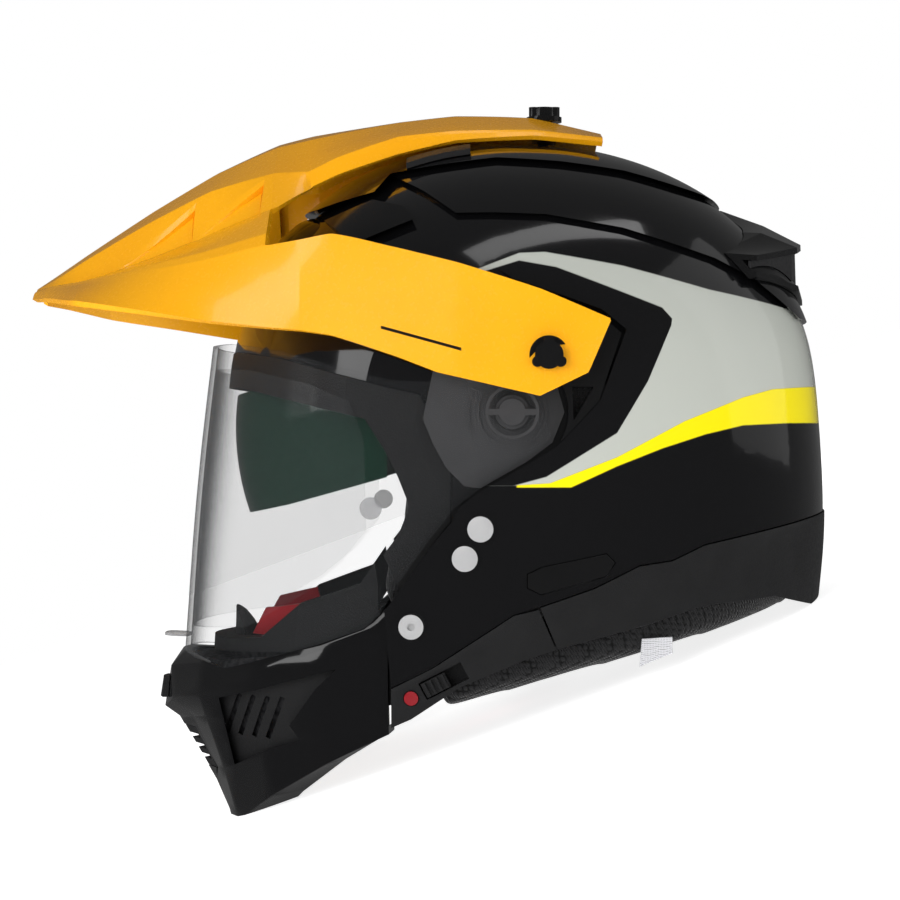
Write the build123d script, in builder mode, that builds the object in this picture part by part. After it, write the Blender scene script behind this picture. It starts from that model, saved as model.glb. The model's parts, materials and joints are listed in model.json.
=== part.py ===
from build123d import *
from functools import cache
from math import cos, hypot, radians, sin
import os

os.makedirs("parts", exist_ok=True)

# A dual sport helmet with a peak, a tilting visor, a drop-down sun visor and a removable chin guard.
# Outlines are written in the position in which the helmet is worn: x runs back from the visor pivot,
# z runs up, y runs to the wearer's right. The whole frame is then tipped back by table_tilt, so that
# the helmet stands on its chin guard and its nape trim, as it does on a table.
# Side outlines are shares of shell_length, and sideways places are shares of shell_width.

# Driving dimensions, in millimetres and degrees
shell_length = 300.0
shell_width = 254.0
table_tilt = 20.5
pivot_height_share = 0.4467
centre_shift_share = 0.07021

# Walls and clearances
shell_wall = 3.4
visor_wall = 2.4
peak_wall = 2.8
guard_wall = 3.6
eps_wall = 26.0
pad_wall = 9.0
fit_gap = 0.3
run_gap = 0.7
overrun = 60.0

# Small hardware
rivet_radius = 5.75
rivet_head = 1.8
shank_radius = 2.6
screw_radius = 5.6
socket_radius = 1.7
knob_radius = 8.6
knob_height = 7.0
knob_lobe = 2.4
ear_radius = 23.4
hub_radius = 7.6

half_width = shell_width / 2
reach = shell_width

tilt_cos = cos(radians(table_tilt))
tilt_sin = sin(radians(table_tilt))
worn = Plane(
    origin=(centre_shift_share * shell_length, 0, pivot_height_share * shell_length),
    x_dir=(tilt_cos, 0, -tilt_sin),
    z_dir=(tilt_sin, 0, tilt_cos),
)
profile = Plane(origin=worn.origin, x_dir=worn.x_dir, z_dir=(0, -1, 0))
pivot_axis = Axis(worn.origin, (0, 1, 0))


def side(shares):
    """Side-view points, from shares of the shell's length."""
    return [(x * shell_length, z * shell_length) for x, z in shares]


def across(x):
    """The plane square to the worn x axis at x, seen from the back: local x is y, local y is z."""
    return Plane(origin=worn.origin + worn.x_dir * x, x_dir=(0, 1, 0), z_dir=worn.x_dir)


def left(distance):
    """The side-view plane moved out to the wearer's left."""
    return profile.offset(distance)


def oval(front, rear, half, front_power, rear_power, count=16):
    """Points round an oval with its own front and rear reach and fullness."""
    points = []
    for step in range(count):
        angle = radians(360 * step / count)
        power = rear_power if cos(angle) > 0 else front_power
        length = rear if cos(angle) > 0 else -front
        x = length * abs(cos(angle)) ** (2 / power)
        y = half * abs(sin(angle)) ** (2 / power)
        points.append((x, y if sin(angle) > 0 else -y))
    return points


# Head form: level, front reach and rear reach as shares of the length, half width as one of the width
skirt_shares = [
    (-0.530, 0.465, 0.480, 0.405),
    (-0.367, 0.473, 0.500, 0.445),
    (-0.233, 0.470, 0.511, 0.472),
    (-0.117, 0.463, 0.514, 0.492),
]
dome_front_share, dome_rear_share, dome_height_share = 0.453, 0.507, 0.427
dome_angles = [0, 15, 30, 44, 57, 68, 77, 84, 88]
dome_power = 2.1


@cache
def head_form(grow):
    """The helmet's outer form, grown or shrunk by one distance all round."""
    levels = [
        (z * shell_length, f * shell_length + grow, r * shell_length + grow, w * shell_width + grow)
        for z, f, r, w in skirt_shares
    ]
    for angle in dome_angles:
        across_by = cos(radians(angle)) ** (2 / dome_power)
        up_by = sin(radians(angle)) ** (2 / dome_power)
        levels.append((
            (dome_height_share * shell_length + grow) * up_by,
            (dome_front_share * shell_length + grow) * across_by,
            (dome_rear_share * shell_length + grow) * across_by,
            (half_width + grow) * across_by,
        ))
    with BuildPart() as form:
        for z, front, rear, half in levels:
            with BuildSketch(worn.offset(z)):
                with BuildLine():
                    Spline(*oval(front, rear, half, 2.0, 2.2), periodic=True)
                make_face()
        loft()
    return form.part


# Visor form: level, front reach, half width
visor_shares = [
    (0.150, 0.470, 0.4785),
    (0.000, 0.488, 0.4785),
    (-0.133, 0.502, 0.471),
    (-0.253, 0.512, 0.443),
    (-0.400, 0.523, 0.412),
]


@cache
def visor_form(shrink):
    """The visor's outer face, closed behind into an oval, moved in by one distance."""
    with BuildPart() as form:
        for z, front, half in visor_shares:
            with BuildSketch(worn.offset(z * shell_length)):
                with BuildLine():
                    outline = oval(
                        front * shell_length - shrink,
                        front * shell_length - shrink,
                        half * shell_width - shrink,
                        2.5,
                        2.5,
                    )
                    Spline(*outline, periodic=True)
                make_face()
        loft()
    return form.part


def side_prism(shares, grow=0.0, one_side=False):
    """A side outline carried right across the helmet, or out to the left only."""
    with BuildPart() as prism:
        with BuildSketch(profile):
            with BuildLine():
                Polyline(*side(shares), close=True)
            make_face()
            if grow:
                offset(amount=grow, kind=Kind.INTERSECTION)
        extrude(amount=reach, both=not one_side)
    return prism.part


def pin(x_share, z_share, radius, start=0.0):
    """A round bar out to the left at a side-view place."""
    with BuildPart() as bar:
        with BuildSketch(left(start)):
            with Locations((x_share * shell_length, z_share * shell_length)):
                Circle(radius)
        extrude(amount=reach - start)
    return bar.part


def other_side(part):
    """The same piece on the wearer's right."""
    return mirror(part, about=Plane.XZ)


# The tray beside the temple, in which the visor's ears turn: radius from the pivot, then distance from
# the middle
tray_floor_shares = [
    (0.0, 0.451), (0.145, 0.451), (0.197, 0.441), (0.256, 0.427), (0.315, 0.407), (0.374, 0.378),
]
tray_shares = [
    (0.170, 0.123), (0.130, 0.017), (0.067, -0.050), (0.023, -0.077), (-0.047, -0.117), (-0.077, -0.140),
    (-0.090, -0.163), (-0.200, -0.163), (-0.567, -0.163), (-0.567, 0.317), (-0.200, 0.317), (-0.100, 0.267),
    (0.000, 0.200), (0.133, 0.153),
]


def tray_space(depth, grow=0.0):
    """What lies outside the tray's floor, taken deeper and wider by two distances, on both sides."""
    floor = [(r * shell_length, -(y * shell_width - depth)) for r, y in tray_floor_shares]
    with BuildPart() as turned:
        with BuildSketch(worn):
            with BuildLine():
                Line(floor[0], floor[1])
                Spline(*floor[1:])
                Polyline(floor[-1], (floor[-1][0], -reach), (0, -reach), floor[0])
            make_face()
        revolve(axis=pivot_axis)
        mirror(about=Plane.XZ)
        add(side_prism(tray_shares, grow), mode=Mode.INTERSECT)
    return turned.part


# Sun visor's bowl: radius from its own pivot, distance from the middle
sun_pivot_share = (-0.023, -0.020)
sun_wall = 2.0
sun_profile_shares = [
    (0.417, 0.000), (0.410, 0.100), (0.393, 0.180), (0.350, 0.250), (0.290, 0.310), (0.210, 0.360),
    (0.150, 0.378),
]
sun_pivot = worn.from_local_coords(
    Vector(sun_pivot_share[0] * shell_length, 0, sun_pivot_share[1] * shell_length)
)
sun_plane = Plane(origin=sun_pivot, x_dir=worn.x_dir, z_dir=worn.z_dir)
sun_axis = Axis(sun_pivot, (0, 1, 0))


@cache
def sun_bowl(shrink):
    """The bowl of revolution, about the sun visor's own pivot, that its outer face lies on."""
    half = [
        (r * shell_length - shrink, y * shell_width - (shrink if y else 0)) for r, y in sun_profile_shares
    ]
    with BuildPart() as bowl:
        with BuildSketch(sun_plane):
            with BuildLine():
                Spline(*[(r, -y) for r, y in reversed(half[1:])], *half)
                Polyline(half[-1], (0, half[-1][1]), (0, -half[-1][1]), (half[-1][0], -half[-1][1]))
            make_face()
        revolve(axis=sun_axis)
    return bowl.part


form_out = head_form(0)
form_in = head_form(-shell_wall)

# Outer shell, open at the front and below, with a tray and a boss for the peak at each side
port_shares = [
    (-0.567, 0.110), (-0.430, 0.100), (-0.343, 0.083), (-0.267, 0.060), (-0.180, 0.037), (-0.137, 0.027),
    (-0.107, -0.027), (-0.090, -0.090), (-0.090, -0.163), (-0.123, -0.203), (-0.167, -0.267), (-0.190, -0.297),
    (-0.187, -0.340), (-0.180, -0.410),
]
hem_shares = [
    (-0.180, -0.413), (-0.117, -0.380), (0.003, -0.300), (0.057, -0.283), (0.123, -0.260), (0.190, -0.227),
    (0.240, -0.220), (0.290, -0.197), (0.437, -0.167), (0.527, -0.147), (0.700, -0.120),
]
crown_shares = [(0.700, 0.500), (-0.567, 0.500)]
cover_shares = [
    (0.023, -0.240), (0.043, -0.230), (0.140, -0.210), (0.153, -0.223), (0.140, -0.243), (0.043, -0.270),
    (0.023, -0.260),
]
rivet_places_share = [(-0.070, -0.217), (-0.047, -0.173)]
screw_place_share = (-0.150, -0.320)
knob_place_share = (0.053, 0.083)
peak_boss_radius = 4.8
peak_boss_height = 10.9
tray_level = tray_floor_shares[0][1] * shell_width

tray_cut = tray_space(0)
tray_back = tray_space(shell_wall, shell_wall)
with BuildPart() as outer_shell:
    add(form_out)
    add(form_in, mode=Mode.SUBTRACT)
    add(tray_cut, mode=Mode.SUBTRACT)
    add((tray_back - tray_cut) & form_out)
    add(side_prism(port_shares + hem_shares + crown_shares), mode=Mode.INTERSECT)
    add(side_prism(cover_shares, fit_gap, one_side=True), mode=Mode.SUBTRACT)
    with BuildSketch(left(tray_level), mode=Mode.PRIVATE) as boss_sketch:
        with Locations((knob_place_share[0] * shell_length, knob_place_share[1] * shell_length)):
            Circle(peak_boss_radius)
    extrude(boss_sketch.sketch, amount=peak_boss_height)
    extrude(mirror(boss_sketch.sketch, about=Plane.XZ, mode=Mode.PRIVATE), amount=peak_boss_height)
    for x_share, z_share in rivet_places_share + [screw_place_share, knob_place_share]:
        hole = pin(x_share, z_share, shank_radius + fit_gap, start=shell_width / 4)
        add(hole, mode=Mode.SUBTRACT)
        add(other_side(hole), mode=Mode.SUBTRACT)
outer_shell.part.label = "outer_shell"
export_step(outer_shell.part, "parts/outer_shell.step")

# Fairing on the crown, raised in two steps, with the boss under the peak's rear fixing
fairing_shares = [
    (-0.190, 0.380), (-0.133, 0.343), (-0.083, 0.303), (-0.027, 0.303), (0.053, 0.300), (0.110, 0.290),
    (0.170, 0.280), (0.260, 0.253), (0.313, 0.237), (0.377, 0.207), (0.457, 0.150), (0.700, 0.150),
    (0.700, 0.600), (-0.190, 0.600),
]
ridge_shares = [
    (-0.400, 0.325), (-0.303, 0.325), (-0.210, 0.345), (-0.185, 0.378), (-0.020, 0.400), (0.080, 0.393),
    (0.180, 0.380), (0.270, 0.357), (0.337, 0.343), (0.420, 0.310), (0.480, 0.240), (0.700, 0.240),
    (0.700, 0.600), (-0.400, 0.600),
]
fairing_step = 2.2
ridge_step = 4.4
top_knob_x_share = 0.062
top_boss_radius = 6.0
boss_top_share = 0.450

lower_step = head_form(fairing_step)
upper_step = head_form(ridge_step)
seat_step = head_form(fit_gap)
with BuildPart() as crown_fairing:
    add(upper_step)
    add(side_prism(ridge_shares), mode=Mode.INTERSECT)
    add(lower_step & side_prism(fairing_shares))
    add(seat_step, mode=Mode.SUBTRACT)
    boss_plane = worn.offset(boss_top_share * shell_length)
    with BuildSketch(boss_plane, mode=Mode.PRIVATE) as boss_sketch:
        with Locations((top_knob_x_share * shell_length, 0)):
            Circle(top_boss_radius)
    extrude(boss_sketch.sketch, until=Until.NEXT, dir=-worn.z_dir, target=crown_fairing.part)
    with BuildSketch(worn):
        with Locations((top_knob_x_share * shell_length, 0)):
            Circle(shank_radius + fit_gap)
    extrude(amount=reach, mode=Mode.SUBTRACT)
crown_fairing.part.label = "crown_fairing"
export_step(crown_fairing.part, "parts/crown_fairing.step")

# Vent sliders at both sides of the crown
slider_front_share, slider_back_share = -0.160, -0.060
slider_inner_share, slider_outer_share = 0.175, 0.210
slider_step = 2.4
slider_gap = 0.5
with BuildPart() as crown_slider_left:
    add(head_form(ridge_step + slider_gap + slider_step))
    add(head_form(ridge_step + slider_gap), mode=Mode.SUBTRACT)
    with BuildSketch(worn):
        with BuildLine():
            Polyline(
                (slider_front_share * shell_length, -slider_inner_share * shell_width),
                (slider_back_share * shell_length, -slider_inner_share * shell_width),
                (slider_back_share * shell_length, -slider_outer_share * shell_width),
                (slider_front_share * shell_length, -slider_outer_share * shell_width),
                close=True,
            )
        make_face()
    extrude(amount=reach, mode=Mode.INTERSECT)
crown_slider_left.part.label = "crown_slider_left"
export_step(crown_slider_left.part, "parts/crown_slider_left.step")


def inset(line, depth):
    """An open line of points moved to its right by one distance, with mitred corners."""
    normals = []
    for (x0, y0), (x1, y1) in zip(line, line[1:]):
        length = hypot(x1 - x0, y1 - y0)
        normals.append(((y1 - y0) / length, (x0 - x1) / length))
    moved = []
    for index, (x, y) in enumerate(line):
        before, after = normals[max(index - 1, 0)], normals[min(index, len(normals) - 1)]
        stretch = depth / (1 + before[0] * after[0] + before[1] * after[1])
        moved.append((x + stretch * (before[0] + after[0]), y + stretch * (before[1] + after[1])))
    return moved


# Peak: place along x, then height of the middle, then (y, z) of the arm's edge, the valley, the crease
# and the hem
peak_shares = [
    (-0.757, 0.200, (0.026, 0.197), (0.040, 0.193), (0.052, 0.190), (0.063, 0.182)),
    (-0.733, 0.216, (0.036, 0.208), (0.056, 0.199), (0.094, 0.193), (0.126, 0.179)),
    (-0.673, 0.257, (0.063, 0.243), (0.091, 0.207), (0.154, 0.198), (0.252, 0.167)),
    (-0.567, 0.327, (0.106, 0.300), (0.154, 0.237), (0.224, 0.215), (0.307, 0.152)),
    (-0.467, 0.387, (0.142, 0.347), (0.197, 0.273), (0.287, 0.230), (0.354, 0.137)),
    (-0.367, 0.433, (0.165, 0.373), (0.244, 0.310), (0.354, 0.250), (0.413, 0.125)),
    (-0.313, 0.447, (0.169, 0.377), (0.177, 0.353), (0.394, 0.257), (0.441, 0.120)),
    (-0.267, 0.455, (0.163, 0.400), (0.170, 0.376), (0.417, 0.265), (0.455, 0.113)),
    (-0.173, 0.470, (0.150, 0.433), (0.157, 0.409), (0.449, 0.243), (0.484, 0.082)),
    (-0.083, 0.480, (0.142, 0.443), (0.149, 0.430), (0.476, 0.220), (0.502, 0.047)),
    (0.040, 0.477, (0.132, 0.445), (0.139, 0.437), (0.498, 0.180), (0.516, 0.000)),
    (0.150, 0.450, (0.122, 0.433), (0.129, 0.427), (0.508, 0.133), (0.516, -0.033)),
]
strip_share = 0.3
window_start = 5


def peak_section(station):
    """Half of the peak's section at one station, from the middle strip out to the hem."""
    x, middle, arm, valley, crease, hem = station
    strip = (strip_share * arm[0] * shell_width, (middle - 0.15 * (middle - arm[1])) * shell_length)
    return [strip] + [(y * shell_width, z * shell_length) for y, z in (arm, valley, crease, hem)]


def peak_form(wall):
    """The peak as one arched sheet, lofted straight from station to station."""
    with BuildPart() as form:
        for station in peak_shares:
            half = peak_section(station)
            over = [(-y, z) for y, z in reversed(half)] + half
            under = list(reversed(inset(over, wall)))
            with BuildSketch(across(station[0] * shell_length)):
                with BuildLine():
                    Polyline(*over, *under, close=True)
                make_face()
        loft(ruled=True)
    return form.part


window_shares = [(s[0], s[3][1]) for s in peak_shares[window_start:]]
window_shares += [(0.300, 0.400), (0.300, 0.100)]
window_shares += [(s[0], s[4][1]) for s in reversed(peak_shares[window_start:])]
tail_shares = [
    (0.143, 0.133), (0.110, 0.057), (0.040, 0.023), (-0.120, 0.060), (-0.120, -0.200), (0.300, -0.200),
    (0.300, 0.133),
]
slot_shares = [(-0.197, 0.123), (-0.190, 0.127), (-0.073, 0.093), (-0.080, 0.089)]
with BuildPart() as peak:
    add(peak_form(peak_wall))
    with BuildSketch(boss_plane.offset(fit_gap), mode=Mode.PRIVATE) as spacer_sketch:
        with Locations((top_knob_x_share * shell_length, 0)):
            Circle(top_boss_radius)
    extrude(spacer_sketch.sketch, amount=2 * peak_wall)
    for cut in (window_shares, tail_shares, slot_shares):
        add(side_prism(cut), mode=Mode.SUBTRACT)
    hole = pin(*knob_place_share, shank_radius + fit_gap, start=shell_width / 4)
    add(hole, mode=Mode.SUBTRACT)
    add(other_side(hole), mode=Mode.SUBTRACT)
    with BuildSketch(worn):
        with Locations((top_knob_x_share * shell_length, 0)):
            Circle(shank_radius + fit_gap)
    extrude(amount=reach, mode=Mode.SUBTRACT)
peak.part.label = "peak"
export_step(peak.part, "parts/peak.step")

# Visor, with an ear round the pivot at each side
visor_side_shares = [
    (-0.620, 0.113), (-0.430, 0.108), (-0.347, 0.093), (-0.267, 0.070), (-0.180, 0.047), (-0.127, 0.045),
    (-0.030, 0.072), (0.030, 0.055), (0.060, -0.040), (-0.037, -0.105), (-0.085, -0.142), (-0.123, -0.190),
    (-0.170, -0.257), (-0.197, -0.303), (-0.223, -0.325), (-0.293, -0.350), (-0.440, -0.393), (-0.520, -0.375),
    (-0.620, -0.366),
]
visor_out = visor_form(0)
visor_in = visor_form(visor_wall)
with BuildPart() as visor:
    with BuildSketch(profile):
        with BuildLine():
            Polyline(*side(visor_side_shares), close=True)
        make_face()
        with BuildSketch(mode=Mode.PRIVATE) as ear_sketch:
            Circle(ear_radius)
        with BuildSketch(mode=Mode.PRIVATE) as behind_sketch:
            with Locations((reach / 2, 0)):
                Rectangle(reach, reach)
        add(behind_sketch.sketch - ear_sketch.sketch, mode=Mode.SUBTRACT)
        Circle(hub_radius + run_gap, mode=Mode.SUBTRACT)
    extrude(amount=reach, both=True)
    add(visor_out, mode=Mode.INTERSECT)
    add(visor_in, mode=Mode.SUBTRACT)
visor.part.label = "visor"
export_step(visor.part, "parts/visor.step")

# Air intakes at both sides of the brow
intake_step = 3.4
brow_shares = [(-0.290, 0.303), (-0.240, 0.257), (-0.147, 0.293), (-0.163, 0.318), (-0.212, 0.333)]
with BuildPart() as brow_intakes:
    add(head_form(intake_step))
    add(seat_step, mode=Mode.SUBTRACT)
    add(side_prism(brow_shares, -fit_gap), mode=Mode.INTERSECT)
brow_intakes.part.label = "brow_intakes"
export_step(brow_intakes.part, "parts/brow_intakes.step")

# Visor hardware: hinge plates in the trays, pivot caps and the clear anti-fog sheet on its two pins
plate_wall = 1.8
plate_shares = [
    (-0.116, 0.066), (-0.132, -0.010), (-0.117, -0.047), (-0.097, -0.083), (-0.070, -0.110),
    (-0.047, -0.113), (0.023, -0.073), (0.060, -0.045), (0.078, 0.000), (0.068, 0.036), (0.020, 0.074),
]
dial_radius = 16.0
dial_rib = 1.4
dial_step = 0.6
rack_radius = 19.5
rack_teeth = 12
rack_tooth = 1.3
rack_pitch = 5.5
rack_middle = 180.0
cap_radius = 12.0
cap_height = 1.6
visor_half_share = visor_shares[1][2]
hub_top = visor_half_share * shell_width + fit_gap
plate_top = tray_level + fit_gap + plate_wall
with BuildPart() as hinge_plate_left:
    with BuildSketch(left(tray_level + fit_gap)):
        with BuildLine():
            Polyline(*side(plate_shares), close=True)
        make_face()
        with Locations((knob_place_share[0] * shell_length, knob_place_share[1] * shell_length)):
            Circle(peak_boss_radius + run_gap, mode=Mode.SUBTRACT)
    extrude(amount=plate_wall)
    with BuildSketch(left(plate_top)):
        Circle(hub_radius)
    extrude(amount=hub_top - plate_top)
    with BuildSketch(left(plate_top)):
        Circle(dial_radius)
        Circle(dial_radius - dial_rib, mode=Mode.SUBTRACT)
        rack_start = rack_middle - rack_pitch * (rack_teeth - 1) / 2
        with PolarLocations(rack_radius, rack_teeth, rack_start, rack_pitch * rack_teeth):
            RegularPolygon(rack_tooth, 3)
    extrude(amount=dial_step)
    add((form_out & side_prism(plate_shares, one_side=True)), mode=Mode.INTERSECT)
hinge_plate_left.part.label = "hinge_plate_left"
export_step(hinge_plate_left.part, "parts/hinge_plate_left.step")

with BuildPart() as hinge_plate_right:
    add(other_side(hinge_plate_left.part))
hinge_plate_right.part.label = "hinge_plate_right"
export_step(hinge_plate_right.part, "parts/hinge_plate_right.step")

with BuildPart() as pivot_caps:
    with BuildSketch(left(hub_top + fit_gap)):
        Circle(cap_radius)
        Circle(cap_radius - dial_rib, mode=Mode.SUBTRACT)
        Circle(cap_radius / 2)
        Rectangle(2 * cap_radius - dial_rib, 2 * dial_rib)
    extrude(amount=cap_height)
    mirror(about=Plane.XZ)
pivot_caps.part.label = "pivot_caps"
export_step(pivot_caps.part, "parts/pivot_caps.step")

sheet_wall = 1.2
sheet_shares = [
    (-0.243, 0.017), (-0.220, -0.040), (-0.217, -0.177), (-0.257, -0.227), (-0.313, -0.273),
    (-0.403, -0.327), (-0.600, -0.345), (-0.600, 0.082), (-0.403, 0.067), (-0.303, 0.043),
]
sheet_pin_share = (-0.210, -0.143)
sheet_pin_radius = 5.0
sheet_out = visor_form(visor_wall + fit_gap)
sheet_in = visor_form(visor_wall + fit_gap + sheet_wall)
with BuildPart() as antifog_sheet:
    add(sheet_out)
    add(sheet_in, mode=Mode.SUBTRACT)
    add(side_prism(sheet_shares), mode=Mode.INTERSECT)
    with BuildSketch(profile):
        with Locations(side([sheet_pin_share])[0]):
            Circle(sheet_pin_radius + fit_gap)
    extrude(amount=reach, both=True, mode=Mode.SUBTRACT)
antifog_sheet.part.label = "antifog_sheet"
export_step(antifog_sheet.part, "parts/antifog_sheet.step")

with BuildPart() as antifog_pins:
    add(visor_form(visor_wall + fit_gap / 2))
    add(visor_form(visor_wall + fit_gap + sheet_wall + fit_gap), mode=Mode.SUBTRACT)
    with BuildSketch(profile):
        with Locations(side([sheet_pin_share])[0]):
            Circle(sheet_pin_radius)
    extrude(amount=reach, both=True, mode=Mode.INTERSECT)
antifog_pins.part.label = "antifog_pins"
export_step(antifog_pins.part, "parts/antifog_pins.step")

# Eye port seal on the shell
seal_lip = 0.6
seal_draft = 3.0
seal_depth = 9.0
port_inner_shares = [
    (-0.567, 0.055), (-0.420, 0.040), (-0.273, 0.003), (-0.220, -0.010), (-0.190, -0.057), (-0.170, -0.097),
    (-0.153, -0.140), (-0.170, -0.183), (-0.193, -0.213),
]
seal_out = head_form(seal_lip)
seal_in = head_form(-seal_depth)
seal_limit = visor_form(visor_wall + fit_gap + sheet_wall + run_gap)
lower_limit = visor_form(visor_wall + fit_gap + sheet_wall + run_gap + seal_draft)
seal_bowl = sun_bowl(-run_gap)
with BuildPart() as port_seal:
    with BuildSketch(profile):
        with BuildLine():
            Polyline(*side(port_shares[:11] + list(reversed(port_inner_shares))), close=True)
        make_face()
        offset(amount=-fit_gap, kind=Kind.INTERSECTION)
    extrude(amount=reach, both=True)
    add(seal_out, mode=Mode.INTERSECT)
    add(seal_in, mode=Mode.SUBTRACT)
    add(tray_cut, mode=Mode.SUBTRACT)
    add(seal_limit, mode=Mode.INTERSECT)
    add(seal_bowl, mode=Mode.SUBTRACT)
port_seal.part.label = "port_seal"
export_step(port_seal.part, "parts/port_seal.step")

# Lower trims: one at each jaw, one round the nape
trim_lip = 0.8
trim_depth = 8.0
jaw_trim_shares = [
    (-0.180, -0.415), (-0.117, -0.382), (0.003, -0.302), (0.040, -0.293), (0.066, -0.353), (0.023, -0.367),
    (-0.077, -0.410), (-0.150, -0.460), (-0.180, -0.474),
]
nape_trim_shares = [
    (0.042, -0.290), (0.123, -0.262), (0.190, -0.229), (0.240, -0.222), (0.290, -0.199), (0.437, -0.169),
    (0.527, -0.149), (0.700, -0.122), (0.700, -0.330), (0.503, -0.305), (0.407, -0.280), (0.287, -0.290),
    (0.203, -0.317), (0.068, -0.352),
]
trim_out = head_form(trim_lip)
trim_in = head_form(-trim_depth)
trim_band = trim_out - trim_in
jaw_trim = trim_band & side_prism(jaw_trim_shares, one_side=True)
slide_angle = 28.0
slide_place_share = (-0.113, -0.407)
slide_length, slide_height, slide_travel = 12.0, 7.0, 8.0
button_place_share = (-0.150, -0.428)
button_radius = 3.2
slide_along = Vector(cos(radians(slide_angle)), sin(radians(slide_angle)))
slide_place = Vector(*side([slide_place_share])[0])
window_place = slide_place + slide_along * (slide_travel / 2)
# The slider and the button sit in one pocket whose floor stays closed
pocket_wall = 1.8
with BuildPart() as slider_pocket:
    with BuildSketch(profile):
        with Locations((window_place.X, window_place.Y)):
            Rectangle(
                slide_length + slide_travel + 2 * run_gap,
                slide_height + 2 * run_gap,
                rotation=slide_angle,
            )
        with Locations(side([button_place_share])[0]):
            Circle(button_radius + fit_gap)
    extrude(amount=reach)
    add(head_form(-trim_depth + pocket_wall), mode=Mode.SUBTRACT)
with BuildPart() as jaw_trim_left:
    add(jaw_trim)
    add(slider_pocket.part, mode=Mode.SUBTRACT)
jaw_trim_left.part.label = "jaw_trim_left"
export_step(jaw_trim_left.part, "parts/jaw_trim_left.step")

with BuildPart() as jaw_trim_right:
    add(other_side(jaw_trim))
jaw_trim_right.part.label = "jaw_trim_right"
export_step(jaw_trim_right.part, "parts/jaw_trim_right.step")

with BuildPart() as nape_trim:
    add(trim_band)
    add(side_prism(nape_trim_shares), mode=Mode.INTERSECT)
    split(bisect_by=Plane.XY, keep=Keep.TOP)
nape_trim.part.label = "nape_trim"
export_step(nape_trim.part, "parts/nape_trim.step")

# Chin guard, lofted from section to section round the jaw. Each section is a line of places round the
# outside, as a distance from the guard's own upright axis and a height.
guard_axis_share = -0.150
guard_shares = [
    (0.0, [
        (0.367, -0.363), (0.397, -0.407), (0.407, -0.473), (0.383, -0.490), (0.323, -0.593), (0.298, -0.650),
    ]),
    (9.5, [
        (0.363, -0.363), (0.395, -0.402), (0.393, -0.455), (0.360, -0.485), (0.320, -0.567), (0.298, -0.648),
    ]),
    (24.0, [
        (0.350, -0.367), (0.367, -0.393), (0.370, -0.440), (0.357, -0.477), (0.327, -0.560), (0.303, -0.642),
    ]),
    (46.0, [
        (0.333, -0.353), (0.347, -0.377), (0.352, -0.413), (0.345, -0.453), (0.330, -0.520), (0.313, -0.590),
    ]),
    (66.0, [
        (0.323, -0.333), (0.333, -0.353), (0.337, -0.390), (0.335, -0.430), (0.328, -0.487), (0.318, -0.533),
    ]),
    (84.0, [
        (0.330, -0.293), (0.337, -0.317), (0.338, -0.357), (0.337, -0.397), (0.330, -0.443), (0.323, -0.485),
    ]),
]
guard_back = 20.0
# Latch tongues at the guard's ends, which slide up behind the shell's edge: a plate and a rib to the wall
tongue_shares = [(-0.212, -0.345), (-0.168, -0.350), (-0.168, -0.442), (-0.212, -0.445)]
rib_shares = [(-0.2035, -0.345), (-0.1935, -0.347), (-0.1935, -0.442), (-0.2035, -0.445)]
tongue_share, tongue_wall, rib_wall_width = 0.3410, 4.0, 5.0


def guard_plane(angle):
    """The upright plane through the guard's axis, turned from straight ahead towards the wearer's right."""
    ahead = worn.x_dir * -cos(radians(angle)) + Vector(0, 1, 0) * sin(radians(angle))
    centre = worn.origin + worn.x_dir * (guard_axis_share * shell_length)
    return Plane(origin=centre, x_dir=ahead, z_dir=ahead.cross(worn.z_dir))


@cache
def guard_form(depth, back):
    """The guard's outside moved in by one distance and closed a second distance behind it."""
    stations = [(-angle, line) for angle, line in reversed(guard_shares[1:])] + guard_shares
    with BuildPart() as form:
        for angle, line in stations:
            outside = [(r * shell_length, z * shell_length) for r, z in line]
            behind_top = (outside[0][0] - back, outside[0][1])
            behind_foot = (outside[-1][0] - back, outside[-1][1])
            loop = [behind_top] + outside + [behind_foot]
            if depth:
                loop = inset(loop, depth)
            with BuildSketch(guard_plane(angle)):
                with BuildLine():
                    Polyline(*loop, close=True)
                make_face()
        loft(ruled=True)
    return form.part


intake_shares = [
    (-0.453, -0.443), (-0.430, -0.550), (-0.373, -0.517), (-0.320, -0.500), (-0.337, -0.477),
    (-0.297, -0.420), (-0.263, -0.387),
]
mouth_low_share, mouth_high_share, mouth_half_share = -0.570, -0.503, 0.055
guard_out = guard_form(0, guard_back)
guard_in = guard_form(guard_wall, guard_back + overrun)
intake_side = side_prism(intake_shares)
with BuildPart() as mouth_box:
    with BuildSketch(across(-reach)):
        with Locations((0, (mouth_low_share + mouth_high_share) / 2 * shell_length)):
            Rectangle(
                2 * mouth_half_share * shell_width,
                (mouth_high_share - mouth_low_share) * shell_length,
            )
    extrude(amount=reach / 2)
with BuildPart() as chin_guard:
    add(guard_out)
    add(guard_in, mode=Mode.SUBTRACT)
    add(intake_side, mode=Mode.SUBTRACT)
    add(mouth_box.part, mode=Mode.SUBTRACT)
    add(side_prism(visor_side_shares, run_gap), mode=Mode.SUBTRACT)
    for outline, start, width in (
        (tongue_shares, tongue_share * shell_width, tongue_wall),
        (rib_shares, tongue_share * shell_width + tongue_wall, rib_wall_width),
    ):
        with BuildSketch(left(start), mode=Mode.PRIVATE) as tongue:
            with BuildLine():
                Polyline(*side(outline), close=True)
            make_face()
        block = extrude(tongue.sketch, amount=width, mode=Mode.PRIVATE)
        add(block)
        add(other_side(block))
    split(bisect_by=Plane.XY, keep=Keep.TOP)
chin_guard.part.label = "chin_guard"
export_step(chin_guard.part, "parts/chin_guard.step")

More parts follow.
